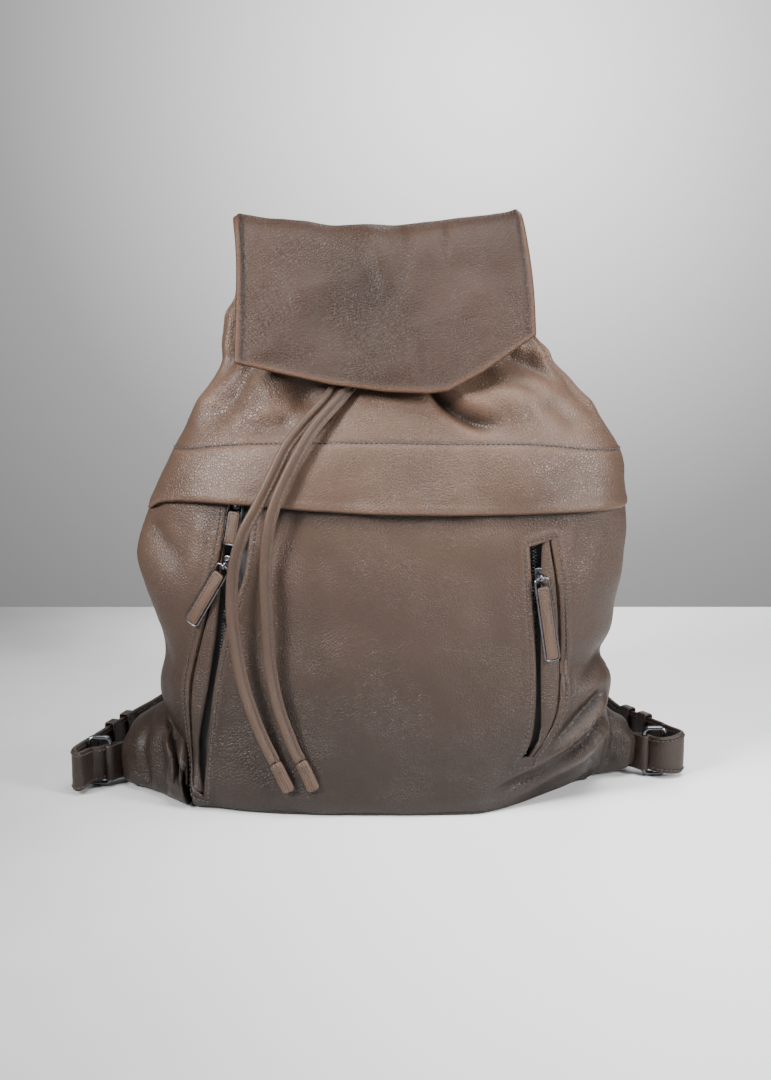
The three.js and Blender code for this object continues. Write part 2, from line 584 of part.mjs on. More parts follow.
function buildSide({ side, sign, ring, fold, leg }) {
  const strip = (name, stations, thickness, steps, slot = 'leather') => add(`${side}_${name}`,
    sweepSolid(stations.map(([x, y, z, across, width]) => ({ at: [sign * x, y, z], across, width })),
      thickness, steps), slot);
  const across = (x, y, z) => [sign * x, y, z];

  // Corner of the base that is drawn out to carry the strap, shaped like a soft cone.
  const inner = ring.x - 7;
  const tip = inner - 5;
  const stations = [[tip - 45, 4, 34, 42], [tip - 27, 5, 30, 37], [tip - 13, 6, 23, 29], [tip - 5, 5, 17, 22],
    [tip, ring.y + 6, 12, 16]];
  const cone = loftSolid(stations.map(([x, y, depth, height]) => Array.from({ length: 14 }, (_, i) => {
    const angle = ((i + 0.5) / 14) * 2 * Math.PI;
    return new THREE.Vector3(sign * x, y + depth * Math.cos(angle), height * (1.03 + Math.sin(angle)));
  })));
  const bodyCore = loftSolid([-1, 0, 8, 14, 35, 60, 95, 130].map((z) => bodyRing(Math.max(z, 0), -1.6, 40)
    .map((p) => p.setZ(z))));
  add(`${side}_corner_wing`, cut(cone, bodyCore), 'leather');

  // Leather tab from the corner to the ring's inner bar.
  strip('anchor_tab', [
    [inner - 4, ring.y + 4, STRAP_MID, UP, 22],
    [inner + 2.4, ring.y + 1.5, STRAP_MID, UP, 22],
  ], 4, 2);

  // Rectangular wire ring, standing upright.
  const half = { across: 8.5, up: STRAP_WIDTH / 2 + 1.6 + RING_WIRE / 2 };
  const hole = { across: half.across - RING_WIRE, up: half.up - RING_WIRE };
  const ringShape = withHole(
    roundedRectangle(-half.across, half.across, -half.up, half.up, 4),
    roundedRectangle(-hole.across, hole.across, -hole.up, hole.up, 2));
  const ringMesh = add(`${side}_ring`, prism(ringShape, -RING_WIRE / 2, RING_WIRE / 2), 'metal');
  ringMesh.position.set(sign * (ring.x + 4.4), ring.y, half.up + 0.3);
  ringMesh.rotation.set(Math.PI / 2, 0, 0);

  // The strap comes back from the ring, turns at the fold and runs behind the bag.
  const outer = ring.x + 6.2;
  strip('strap_loop', [
    [outer - 3, ring.y - 5, STRAP_MID, UP, 24], [outer + 4, ring.y - 6.5, STRAP_MID, UP, 24],
    [fold.x - 3, fold.y - 4, STRAP_MID, UP, STRAP_WIDTH],
    [fold.x + 1, fold.y + 3, STRAP_MID, UP, STRAP_WIDTH],
    [leg[0][0] + 1.4, leg[0][1] - 4, STRAP_MID, UP, STRAP_WIDTH],
  ], STRAP_THICKNESS, 12);
  const [start, finish] = leg;
  const onLeg = (t) => [0, 1].map((axis) => THREE.MathUtils.lerp(start[axis], finish[axis], t));
  strip('lower_strap', [
    ...[0, 0.35, 0.7, 1].map((t) => [...onLeg(t), STRAP_MID, UP, STRAP_WIDTH]),
    [148, 86, 26, across(0.25, 0, 1), STRAP_WIDTH],
    [124, 96, 44, across(0.7, 0, 0.8), STRAP_WIDTH], [109, 97, 62, across(0.95, 0, 0.4), STRAP_WIDTH],
  ], STRAP_THICKNESS, 18);
  strip('shoulder_pad', [
    [105.2, 97, 69, across(0.95, 0, 0.4), 30], [92, 96, 98, across(0.96, 0, 0.3), PAD_WIDTH],
    [76, 90, 150, across(1, 0, 0.25), PAD_WIDTH], [60, 80, 205, across(1, 0, 0.22), PAD_WIDTH],
    [46, 66, 255, across(1, 0, 0.2), 34], [38, 56, 284, across(1, 0, 0.2), 30],
  ], PAD_THICKNESS, 14);
  strip('strap_top', [
    [37.8, 55.6, 284.6, across(1, 0, 0.2), 30], [31, 40, 308, across(1, 0, 0.2), STRAP_WIDTH],
    [27, 28.5, 325, across(1, 0, 0.1), STRAP_WIDTH],
  ], 4, 6);

  // Keepers hold the strap's tail to the strap.
  const heading = new THREE.Vector2(sign * (finish[0] - start[0]), finish[1] - start[1]).normalize();
  for (const [name, t] of [['outer', 0.42], ['inner', 0.78]]) {
    const [x, y] = onLeg(t);
    const halfGap = { thick: STRAP_THICKNESS / 2 + 0.9, wide: STRAP_WIDTH / 2 + 0.7 };
    const half = { thick: halfGap.thick + 1.2, wide: halfGap.wide + 1.4 };
    const keeper = withHole(
      roundedRectangle(-half.thick, half.thick, -half.wide, half.wide, 1.4),
      roundedRectangle(-halfGap.thick, halfGap.thick, -halfGap.wide, halfGap.wide, 0.4));
    const mesh = add(`${side}_${name}_keeper`, prism(keeper, -4.5, 4.5), 'leather');
    mesh.quaternion.setFromRotationMatrix(new THREE.Matrix4().makeBasis(
      new THREE.Vector3(heading.y, -heading.x, 0), new THREE.Vector3(0, 0, 1),
      new THREE.Vector3(-heading.x, -heading.y, 0)));
    mesh.position.set(sign * x, y, STRAP_MID);
  }
}
SIDES.forEach(buildSide);

// Patch over the strap ends, and the loop that the bag is hung from.
const backYAt = (z) => bodyPoint(1.5 * Math.PI, z).y;
const patchFace = (lift) => (u, v) => {
  const x = THREE.MathUtils.lerp(-48, 48, u);
  const z = THREE.MathUtils.lerp(286, 318, v);
  const s = bodySection(z);
  const depth = (1 - Math.abs((x - s.x) / s.a) ** s.power) ** (1 / s.power);
  return new THREE.Vector3(x, s.y + (s.b + lift) * depth, z);
};
add('strap_patch', sheetSolid(12, 3, patchFace(LEATHER + GAP), patchFace(GAP)), 'leather');
add('haul_loop', sweepSolid([
  { at: [-11, backYAt(300) + 5, 304], across: [1, 0, 0], width: 11 },
  { at: [-11, backYAt(280) + 9, 284], across: [1, 0, 0.2], width: 11 },
  { at: [-6, backYAt(262) + 12, 263], across: [0.5, 0, 1], width: 11 },
  { at: [6, backYAt(262) + 12, 263], across: [-0.5, 0, 1], width: 11 },
  { at: [11, backYAt(280) + 9, 284], across: [-1, 0, 0.2], width: 11 },
  { at: [11, backYAt(300) + 5, 304], across: [-1, 0, 0], width: 11 },
], 4, 16), 'leather');

export default backpack;
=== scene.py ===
"""Soft leather backpack: the looks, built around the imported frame."""
import json
import math

import bpy
import mathutils
import numpy as np
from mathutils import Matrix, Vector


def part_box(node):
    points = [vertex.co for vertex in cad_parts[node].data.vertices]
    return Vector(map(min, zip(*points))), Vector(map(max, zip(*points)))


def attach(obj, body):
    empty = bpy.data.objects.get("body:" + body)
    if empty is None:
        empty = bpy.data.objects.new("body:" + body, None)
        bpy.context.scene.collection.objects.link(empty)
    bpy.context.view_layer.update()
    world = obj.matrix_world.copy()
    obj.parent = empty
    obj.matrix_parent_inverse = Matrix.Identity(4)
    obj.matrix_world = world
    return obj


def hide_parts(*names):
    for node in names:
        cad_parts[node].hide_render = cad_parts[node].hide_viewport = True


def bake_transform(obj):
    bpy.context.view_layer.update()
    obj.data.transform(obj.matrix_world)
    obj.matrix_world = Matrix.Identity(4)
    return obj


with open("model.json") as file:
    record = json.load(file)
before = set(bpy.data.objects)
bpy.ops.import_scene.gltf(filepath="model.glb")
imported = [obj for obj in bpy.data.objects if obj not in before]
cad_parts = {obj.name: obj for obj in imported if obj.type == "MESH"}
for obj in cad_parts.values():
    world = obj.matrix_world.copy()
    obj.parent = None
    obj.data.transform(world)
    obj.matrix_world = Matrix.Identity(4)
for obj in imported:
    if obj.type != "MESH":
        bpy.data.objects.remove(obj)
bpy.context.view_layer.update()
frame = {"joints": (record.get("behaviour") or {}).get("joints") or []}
JOINTS = {joint["name"]: joint for joint in frame["joints"]}
MM = 0.001                      # shapes below are in millimetres

# ---------------------------------------------------------------- driving sizes
LEATHER = 1.4                   # thickness of the visible body leather
HEM_RISE = 20.0                 # how far the yoke's hem is turned up inside
YOKE_STANDOFF = 5.9             # how far the doubled hem stands off the lower panel
PANEL_TOP = 222.0
NECK_TOP = 350.0
CHANNEL_Z = 281.0               # height of the drawstring's channel
FLAP_HALF_WIDTH = 91.0
STRAP_WIDTH = 28.0
STRAP_THICKNESS = 3.2
RING_WIRE = 3.2
LACE_WIDTH = 7.6
STITCH_PITCH = 3.1
SEAM_INSET = 2.6                # a strap's stitches, in from its edge
SEAM = 0.003                    # half the side seam's gap, as an angle

# Sections of the body: height, left, right, front and back reach, superellipse power.
SECTIONS = np.array([
    (0, -141, 139, -66, 60, 2.7), (14, -151, 149, -72, 68, 2.7), (60, -153, 154, -73, 68, 2.6),
    (95, -149, 150, -71, 64, 2.5), (150, -161, 157, -69, 55, 2.4), (190, -151, 154, -66, 46, 2.4),
    (220, -136, 147, -61, 39, 2.3), (245, -117, 133, -54, 33, 2.3), (265, -106, 118, -47, 28, 2.3),
    (285, -103, 104, -38, 24, 2.3), (320, -99, 98, -25, 19, 2.4), (352, -93, 89, -15, 16, 2.5),
], float)


# ---------------------------------------------------------------- curves and numbers
def smoothstep(low, high, value):
    t = np.clip((value - low) / (high - low), 0, 1)
    return t * t * (3 - 2 * t)


def unit(v):
    v = np.asarray(v, float)
    return v / np.maximum(np.linalg.norm(v, axis=-1, keepdims=True), 1e-12)


def hermite(knots, values, at):
    """Smooth values at places between knots, with slopes from the neighbouring knots."""
    last = len(knots) - 1
    before = np.maximum(np.arange(len(knots)) - 1, 0)
    after = np.minimum(np.arange(len(knots)) + 1, last)
    slope = (values[after] - values[before]) / (knots[after] - knots[before])[:, None]
    at = np.asarray(at, float)
    i = np.clip(np.searchsorted(knots, at, side="right") - 1, 0, last - 1)
    span = (knots[i + 1] - knots[i])[..., None]
    t = np.clip((at - knots[i])[..., None] / span, 0, 1)
    return ((2 * t**3 - 3 * t**2 + 1) * values[i] + (t**3 - 2 * t**2 + t) * slope[i] * span
            + (3 * t**2 - 2 * t**3) * values[i + 1] + (t**3 - t**2) * slope[i + 1] * span)


def smooth_line(points, count):
    """count points evenly spaced along a smooth curve through the given points."""
    points = np.asarray(points, float)
    chord = np.concatenate([[0], np.cumsum(np.linalg.norm(np.diff(points, axis=0), axis=1))])
    curve = hermite(chord, points, np.linspace(0, chord[-1], 40 * len(points)))
    length = np.concatenate([[0], np.cumsum(np.linalg.norm(np.diff(curve, axis=0), axis=1))])
    want = np.linspace(0, length[-1], count)
    return np.stack([np.interp(want, length, curve[:, k]) for k in range(curve.shape[1])], 1)


def line_length(points):
    return float(np.linalg.norm(np.diff(points, axis=0), axis=1).sum())


def tangents(path):
    return unit(np.gradient(path, axis=0))


def gauss(distance, width):
    return np.exp(-((distance / width) ** 2))


def ripples(x, z, seed, short, long, height, count=14):
    """Soft irregular waves, the same each run: a sum of seeded plane waves."""
    random = np.random.default_rng(seed)
    total = np.zeros(np.broadcast(x, z).shape)
    for _ in range(count):
        wave = 2 * math.pi / random.uniform(short, long)
        turn = random.uniform(0, math.pi)
        total += np.sin(wave * (x * math.cos(turn) + z * math.sin(turn)) + random.uniform(0, 6.28))
    return height * total / math.sqrt(count)


def fold(x, z, line, sink=0.0, width=4.0, roll=0.0, at=8.0, spread=6.0, fade=(0.25, 0.25)):
    """Height of a fold along a line: a crease of depth sink, and a roll beside it at a
    signed distance, positive to the line's left. It fades in and out at its ends."""
    path = smooth_line(line, 26)
    near = np.full(x.shape, 1e9)
    side = np.zeros(x.shape)
    share = np.zeros(x.shape)
    steps = len(path) - 1
    for k in range(steps):
        ax, az = path[k]
        tx, tz = path[k + 1] - path[k]
        t = np.clip(((x - ax) * tx + (z - az) * tz) / (tx * tx + tz * tz), 0, 1)
        dx, dz = x - ax - t * tx, z - az - t * tz
        distance = np.hypot(dx, dz)
        closer = distance < near
        near = np.where(closer, distance, near)
        side = np.where(closer, np.sign(tx * dz - tz * dx), side)
        share = np.where(closer, (k + t) / steps, share)
    taper = np.ones(x.shape)
    if fade[0]:
        taper *= smoothstep(0, fade[0], share)
    if fade[1]:
        taper *= smoothstep(0, fade[1], 1 - share)
    end = np.where((share <= 0) | (share >= 1), gauss(near, width + spread), 1)
    height = -sink * gauss(near, width) + roll * gauss(side * near - at, spread)
    return height * taper * end


# ---------------------------------------------------------------- meshes
def grid_quads(rows, columns, wrap=False, loop=False):
    """Quads of a grid of points: wrap joins its last column to its first, loop its last row."""
    index = np.arange(rows * columns).reshape(rows, columns)
    if loop:
        index = np.concatenate([index, index[:1]], 0)
    if wrap:
        index = np.concatenate([index, index[:, :1]], 1)
    return np.stack([index[:-1, :-1], index[1:, :-1], index[1:, 1:], index[:-1, 1:]], -1)


def capped(rings):
    """A closed body of rings (count, sides, 3), with a fan over the first and the last ring."""
    count, sides = rings.shape[:2]
    quads = grid_quads(count, sides, wrap=True).reshape(-1, 4)[:, ::-1]
    ring = np.arange(sides)
    after = (ring + 1) % sides
    top = (count - 1) * sides
    first = np.stack([np.full(sides, count * sides), after, ring], 1)
    last = np.stack([np.full(sides, count * sides + 1), top + ring, top + after], 1)
    points = np.concatenate([rings.reshape(-1, 3), rings[:1].mean(1), rings[-1:].mean(1)])
    return points, [quads, first, last]


def thicken(outer, inner, quads, bulge=0.45):
    """A closed sheet between two faces, with a rounded rim along every free edge."""
    outer, inner = outer.reshape(-1, 3), inner.reshape(-1, 3)
    quads = quads.reshape(-1, 4)
    count = len(outer)
    start, stop = quads.ravel(), np.roll(quads, -1, axis=1).ravel()
    centre = np.repeat(outer[quads].mean(1), 4, axis=0)
    free = ~np.isin(start * count + stop, stop * count + start)
    start, stop, centre = start[free], stop[free], centre[free]
    away = np.zeros((count, 3))
    out = (outer[start] + outer[stop]) / 2 - centre
    along = unit(outer[stop] - outer[start])
    out = unit(out - along * (out * along).sum(1, keepdims=True))
    np.add.at(away, start, out)
    np.add.at(away, stop, out)
    rim = np.unique(np.concatenate([start, stop]))
    place = np.zeros(count, int)
    place[rim] = 2 * count + np.arange(len(rim))
    depth = outer[rim] - inner[rim]
    thick = np.linalg.norm(depth, axis=1, keepdims=True)
    direction = away[rim] - depth * (away[rim] * depth).sum(1, keepdims=True) / np.maximum(thick**2, 1e-9)
    middle = (outer[rim] + inner[rim]) / 2 + unit(direction) * thick * bulge
    walls = [np.stack([stop, start, place[start], place[stop]], 1),
             np.stack([place[stop], place[start], start + count, stop + count], 1)]
    return np.concatenate([outer, inner, middle]), [quads, quads[:, ::-1] + count, *walls]


def sweep(path, across, profile, scale=None, closed=False):
    """A closed profile (across, up) carried along a path, with its ends capped."""
    path = np.asarray(path, float)
    count = len(path)
    if closed:
        along = unit(np.roll(path, -1, axis=0) - np.roll(path, 1, axis=0))
    else:
        along = tangents(path)
    across = np.broadcast_to(np.asarray(across, float), path.shape)
    across = unit(across - along * (across * along).sum(1, keepdims=True))
    up = np.cross(along, across)
    scale = np.ones((count, 2)) if scale is None else np.asarray(scale, float)
    if scale.ndim == 1:
        scale = np.stack([scale, scale], 1)
    points = (path[:, None] + across[:, None] * (profile[None, :, :1] * scale[:, None, :1])
              + up[:, None] * (profile[None, :, 1:] * scale[:, None, 1:]))
    if not closed:
        return capped(points)
    quads = grid_quads(count, len(profile), wrap=True, loop=True)
    return points.reshape(-1, 3), [quads.reshape(-1, 4)[:, ::-1]]


def round_profile(width, height, sides=14):
    angle = np.linspace(0, 2 * math.pi, sides, endpoint=False)
    return np.stack([width / 2 * np.cos(angle), height / 2 * np.sin(angle)], 1)


def strap_profile(width, thickness, crown=0.25, groove=0.35, inset=SEAM_INSET):
    """Section of a stitched strap: round edges, a soft crown, a groove along each seam."""
    half, radius = width / 2, thickness / 2
    bend = np.linspace(-math.pi / 2, math.pi / 2, 7)
    right = np.stack([half - radius + radius * np.cos(bend), radius * np.sin(bend)], 1)
    seam = half - inset
    x = np.array([seam + 0.9, seam + 0.35, seam, seam - 0.35, seam - 0.9, seam / 2, 0])
    x = np.concatenate([x, -x[-2::-1]])
    lift = crown * (1 - (x / half) ** 2) - groove * gauss(np.abs(x) - seam, 0.55)
    top = np.stack([x, radius + lift], 1)
    low = np.linspace(-half + radius, half - radius, 7)[1:-1]
    bottom = np.stack([low, np.full(5, -radius)], 1)
    return np.concatenate([right, top, -right, bottom])


def make(name, points, faces, material, body="root", replaces=(), shade=None):
    """A piece in the row frame. body is a body's name, or a tuple (a, b, start, end), whose
    values are not used: such a piece is left unattached. shade paints shade and highlight into the leather,
    point by point, from -1 to 1."""
    mesh = bpy.data.meshes.new(name)
    mesh.from_pydata((np.asarray(points, float).reshape(-1, 3) * MM).tolist(), [],
                     [face for block in faces for face in np.asarray(block).tolist()])
    mesh.shade_smooth()
    mesh.materials.append(material)
    # shade: painted shade below zero; painted highlight, with some real edge wear, above zero.
    if shade is not None:
        tone = np.zeros(len(mesh.vertices), np.float32)
        flat = np.asarray(shade, np.float32).ravel()
        tone[:len(flat)] = flat
        mesh.attributes.new("tone", "FLOAT", "POINT").data.foreach_set("value", tone)
    piece = bpy.data.objects.new(name, mesh)
    bpy.context.scene.collection.objects.link(piece)
    if isinstance(body, tuple):
        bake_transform(piece)
    else:
        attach(piece, body)
    if replaces:
        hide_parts(*([replaces] if isinstance(replaces, str) else replaces))
    return piece


def joined(parts):
    """Several (points, faces) as one."""
    points, faces, count = [], [], 0
    for p, f in parts:
        p = np.asarray(p, float).reshape(-1, 3)
        points.append(p)
        faces += [np.asarray(block).reshape(-1, np.asarray(block).shape[-1]) + count for block in f]
        count += len(p)
    return np.concatenate(points), faces


def taken_at(at, run, rows):
    """Rows (x, y, z) known at distances run, between them at other distances."""
    rows = np.asarray(rows, float)
    return np.stack([np.interp(at, run, rows[:, k]) for k in range(3)], 1)


def stitches(name, lines, body="root", pitch=STITCH_PITCH, length=2.3, thick=0.6):
    """Thread along lines of (points, normals): one small rounded bar a stitch."""
    rings, sides = np.array([-1, -0.86, -0.5, 0.5, 0.86, 1.0]), 6
    girth = np.array([0.05, 0.62, 1, 1, 0.62, 0.05])
    angle = np.linspace(0, 2 * math.pi, sides, endpoint=False)
    quads = grid_quads(len(rings), sides, wrap=True).reshape(-1, 4)[:, ::-1]
    parts = []
    for points, normals in lines:
        run = np.concatenate([[0], np.cumsum(np.linalg.norm(np.diff(points, axis=0), axis=1))])
        at = np.arange(pitch / 2, run[-1], pitch)
        centre, out = taken_at(at, run, points), unit(taken_at(at, run, normals))
        along = unit(taken_at(at, run, tangents(points)))
        side = np.cross(out, along)
        dip = thick * (0.5 - 0.9 * np.abs(rings) ** 3)
        base = (centre[:, None, None] + along[:, None, None] * (rings * length / 2)[None, :, None, None]
                + out[:, None, None] * dip[None, :, None, None])
        ring = (side[:, None, None] * (np.cos(angle) * thick)[None, None, :, None]
                + out[:, None, None] * (np.sin(angle) * thick * 0.8)[None, None, :, None])
        shape = base + ring * girth[None, :, None, None]
        for k in range(len(at)):
            parts.append((shape[k].reshape(-1, 3), [quads]))
    points, faces = joined(parts)
    return make(name, points, faces, THREAD, body)


# ---------------------------------------------------------------- materials
class Shader:
    """A material's node tree, with sockets or plain values as a node's inputs."""

    def __init__(self, name):
        self.material = bpy.data.materials.new(name)
        self.material.use_nodes = True
        self.tree = self.material.node_tree
        self.principled = self.tree.nodes["Principled BSDF"]

    def node(self, kind, inputs=(), output=0, **settings):
        made = self.tree.nodes.new("ShaderNode" + kind)
        for key, value in settings.items():
            setattr(made, key, value)
        for key, value in dict(inputs).items():
            self.put(made, key, value)
        return made.outputs[output]

    def put(self, node, key, value):
        socket = node.inputs[key]
        if isinstance(value, bpy.types.NodeSocket):
            self.tree.links.new(value, socket)
        else:
            socket.default_value = value

    def surface(self, **inputs):
        for key, value in inputs.items():
            self.put(self.principled, key.replace("_", " "), value)
        return self.material

    def places(self, stretch=(1, 1, 1)):
        where = self.node("TexCoord", output="Object")
        return self.node("Mapping", {"Vector": where, "Scale": stretch})

    def noise(self, vector, scale, detail=3.0, roughness=0.5):
        return self.node("TexNoise", {"Vector": vector, "Scale": scale, "Detail": detail,
                                      "Roughness": roughness})

    def range(self, value, low, high, to_low=0.0, to_high=1.0, smooth=True):
        kind = "SMOOTHSTEP" if smooth else "LINEAR"
        return self.node("MapRange", {"Value": value, "From Min": low, "From Max": high,
                                      "To Min": to_low, "To Max": to_high}, interpolation_type=kind)

    def math(self, operation, a, b=0.0):
        return self.node("Math", {0: a, 1: b}, operation=operation)

    def mix(self, share, a, b):
        made = self.tree.nodes.new("ShaderNodeMix")
        made.data_type = "RGBA"
        for key, value in ((0, share), (6, a), (7, b)):
            if isinstance(value, bpy.types.NodeSocket):
                self.tree.links.new(value, made.inputs[key])
            else:
                made.inputs[key].default_value = value if key == 0 else (*value[:3], 1.0)
        return made.outputs[2]

    def bump(self, height, distance):
        return self.node("Bump", {"Height": height, "Distance": distance, "Strength": 1.0})


def leather(name, light, dark, cell=1.5, grain=1.0, rough=(0.40, 0.52), wrinkle=0.10, low=0.0,
            specular=0.32):
    """Pebbled leather: rounded cells parted by fine valleys, stretched wrinkles, mottling, and painted
    shade and highlight.
    """
    s = Shader(name)
    where = s.places()
    warp = s.node("TexNoise", {"Vector": where, "Scale": 260.0, "Detail": 2.0}, output="Color")
    shift = s.node("VectorMath", {0: warp, 1: (0.5, 0.5, 0.5)}, operation="SUBTRACT")
    shift = s.node("VectorMath", {0: shift, "Scale": 0.0016}, operation="SCALE")
    bent = s.node("VectorMath", {0: where, 1: shift}, operation="ADD")
    edge = s.node("TexVoronoi", {"Vector": bent, "Scale": 1000.0 / cell}, feature="DISTANCE_TO_EDGE")
    pebble = s.range(edge, 0.0, 0.26)
    patch = s.range(s.noise(where, 22.0, 3.0), 0.36, 0.66)
    broad = s.range(s.noise(where, 9.0, 2.0), 0.3, 0.7)
    fine = s.noise(where, 2400.0, 2.0)
    long = s.noise(s.places((90, 90, 420)), 1.0, 4.0, 0.6)
    lines = s.range(s.math("ABSOLUTE", s.math("SUBTRACT", long, 0.5)), 0.0, 0.05)
    lines = s.math("MULTIPLY", s.math("SUBTRACT", 1.0, lines), s.math("MULTIPLY", patch, wrinkle))
    depth = s.range(patch, 0.0, 1.0, 0.55, 1.0)
    height = s.math("MULTIPLY", pebble, depth)
    height = s.math("ADD", height, s.math("MULTIPLY", fine, 0.08))
    height = s.math("SUBTRACT", height, lines)
    tone = s.node("Attribute", attribute_name="tone", output="Fac")
    rise = s.node("SeparateXYZ", {"Vector": where}, output="Z")
    color = s.mix(broad, dark, light)
    valley = s.range(edge, 0.0, 0.16, 0.22, 0.0)
    color = s.mix(valley, color, tuple(c * 0.45 for c in dark))
    color = s.mix(s.math("MULTIPLY", lines, 0.35), color, tuple(c * 0.6 for c in dark))
    # Painted shade: negative tone darkens the leather in creases and where shadow falls.
    sunk = s.range(s.math("MULTIPLY", tone, -1.0), 0.0, 1.0, 0.0, 0.9, smooth=False)
    color = s.mix(sunk, color, tuple(c * 0.3 for c in dark))
    # Painted highlight on ridges, with some real edge wear at cut edges: positive tone lightens the
    # leather.
    wear_and_highlight = s.range(tone, 0.0, 1.0, 0.0, 0.62, smooth=False)
    color = s.mix(wear_and_highlight, color, (min(light[0] * 2.1, 1), light[1] * 1.95, light[2] * 1.8))
    # Painted shade: the leather darkens towards the floor.
    color = s.mix(s.range(rise, 0.0, 0.27, low, 0.0), color, tuple(c * 0.18 for c in dark))
    roughness = s.range(s.math("MULTIPLY", pebble, s.range(patch, 0, 1, 0.6, 1.0)), 0.0, 1.0,
                        rough[1], rough[0], smooth=False)
    return s.surface(Base_Color=color, Roughness=roughness, Specular_IOR_Level=specular,
                     Normal=s.bump(height, 0.00016 * grain))


def metal(name, color, rough):
    s = Shader(name)
    where = s.places()
    cloud = s.noise(where, 120.0, 3.0)
    scratch = s.noise(s.places((300, 300, 2600)), 1.0, 3.0)
    shade = s.mix(s.range(cloud, 0.3, 0.7), tuple(c * 0.8 for c in color), color)
    roughness = s.range(cloud, 0.2, 0.8, rough * 0.8, rough * 1.3)
    return s.surface(Base_Color=shade, Metallic=1.0, Roughness=roughness, Normal=s.bump(scratch, 0.00002))


def cloth(name, light, dark, pitch, rough=0.85):
    """Plain weave: two sets of threads that cross at a pitch in millimetres."""
    s = Shader(name)
    wave = 2 * math.pi / (pitch * MM)
    aside = s.node("SeparateXYZ", {"Vector": s.places()}, output="X")
    rise = s.node("SeparateXYZ", {"Vector": s.places()}, output="Z")
    warp = s.math("SINE", s.math("MULTIPLY", aside, wave))
    weft = s.math("SINE", s.math("MULTIPLY", rise, wave))
    woven = s.range(s.math("MULTIPLY", warp, weft), -1.0, 1.0)
    cloud = s.range(s.noise(s.places(), 60.0, 3.0), 0.3, 0.7)
    color = s.mix(woven, dark, light)
    color = s.mix(s.math("MULTIPLY", cloud, 0.4), color, dark)
    return s.surface(Base_Color=color, Roughness=rough, Sheen_Weight=0.15,
                     Normal=s.bump(woven, 0.00008))


# low=0.95 gives the body's leather painted shade that deepens towards the floor.
BODY_LEATHER = leather("body_leather", (0.090, 0.0530, 0.0362), (0.061, 0.0352, 0.0236), cell=1.9,
                       grain=1.4, low=0.95)
# Painted shade: the flap's leather is a darker copy of the body's, for the less light that falls on the
# flap.
FLAP_LEATHER = leather("flap_leather", (0.035, 0.0188, 0.0120), (0.022, 0.0116, 0.0074), cell=2.0,
                       grain=1.4, specular=0.2)
BACK_LEATHER = leather("turned_leather", (0.090, 0.056, 0.040), (0.062, 0.038, 0.027), grain=0.5,
                       wrinkle=0.2)
LACE_LEATHER = leather("lace_leather", (0.066, 0.038, 0.025), (0.044, 0.0248, 0.0165), cell=1.1, grain=0.6,
                       wrinkle=0.2)
# The straps' leather is dark partly in its own colour and partly as painted shade for the shadow at the
# left strap.
STRAP_LEATHER = leather("strap_leather", (0.024, 0.0140, 0.0098), (0.014, 0.0084, 0.0060), cell=1.4,
                        grain=0.9)
PULLER_LEATHER = leather("puller_leather", (0.088, 0.051, 0.034), (0.060, 0.0345, 0.023), cell=1.1,
                         grain=0.6, wrinkle=0.1)
GUNMETAL = metal("gunmetal", (0.13, 0.13, 0.14), 0.26)
ZIP_METAL = metal("zip_teeth", (0.10, 0.10, 0.108), 0.3)
THREAD = cloth("thread", (0.030, 0.018, 0.013), (0.012, 0.0075, 0.0055), 0.5, 0.7)
LINING = cloth("lining_cotton", (0.060, 0.053, 0.049), (0.030, 0.027, 0.026), 0.9)
ZIP_TAPE = cloth("zip_tape", (0.020, 0.020, 0.023), (0.008, 0.008, 0.009), 0.8, 0.75)
BOARD = cloth("stiffener_board", (0.055, 0.053, 0.050), (0.035, 0.034, 0.033), 1.6, 0.8)

# ---------------------------------------------------------------- camera
CAMERA_DISTANCE, CAMERA_HEIGHT, CAMERA_TILT, CAMERA_LENS = 1.086, 0.380, 11.3, 56.67
camera = bpy.data.objects.new("camera", bpy.data.cameras.new("camera"))
camera.data.lens, camera.data.sensor_width = CAMERA_LENS, 36.0
camera.location = (0, -CAMERA_DISTANCE, CAMERA_HEIGHT)
camera.rotation_euler = (math.radians(90 - CAMERA_TILT), 0, 0)
bpy.context.scene.collection.objects.link(camera)
bpy.context.scene.camera = camera

# ---------------------------------------------------------------- drawstring ends
LACES = {
    "left": {
        "route": [
            (-25, -43.5, 280.6), (-25.4, -46.4, 279.2), (-27, -48.6, 275), (-31, -51.4, 267.5),
            (-39, -57, 257.5), (-50, -62.6, 246), (-59.5, -67.8, 234), (-69.5, -72, 214),
            (-77.5, -74, 198), (-86.5, -75.4, 181), (-92.5, -75.2, 159), (-94, -74.8, 134),
            (-92, -74.6, 112), (-88, -75, 88), (-79.5, -75.8, 61), (-69, -76.2, 37)],
        "tip": [(-68.8, -76.2, 36.6), (-66, -76.2, 31), (-60, -76, 18)],
    },
    "right": {
        "route": [
            (-13, -44, 280.6), (-13.6, -47, 279), (-16.5, -49.6, 274.5), (-23, -53, 267),
            (-32, -58.6, 257), (-42, -64.5, 246), (-50, -69.6, 234), (-60.5, -73.8, 214),
            (-66.5, -75.6, 200), (-70.5, -76.5, 185), (-73, -76.4, 161), (-72.5, -76, 128),
            (-71, -76.4, 100), (-66, -76.8, 73), (-57.5, -76.8, 48), (-53, -76.6, 38)],
        "tip": [(-52.8, -76.6, 37.6), (-50, -76.6, 32), (-44.5, -76.4, 19)],
    },
}
LACE_ACROSS = (1, 0, -0.5)


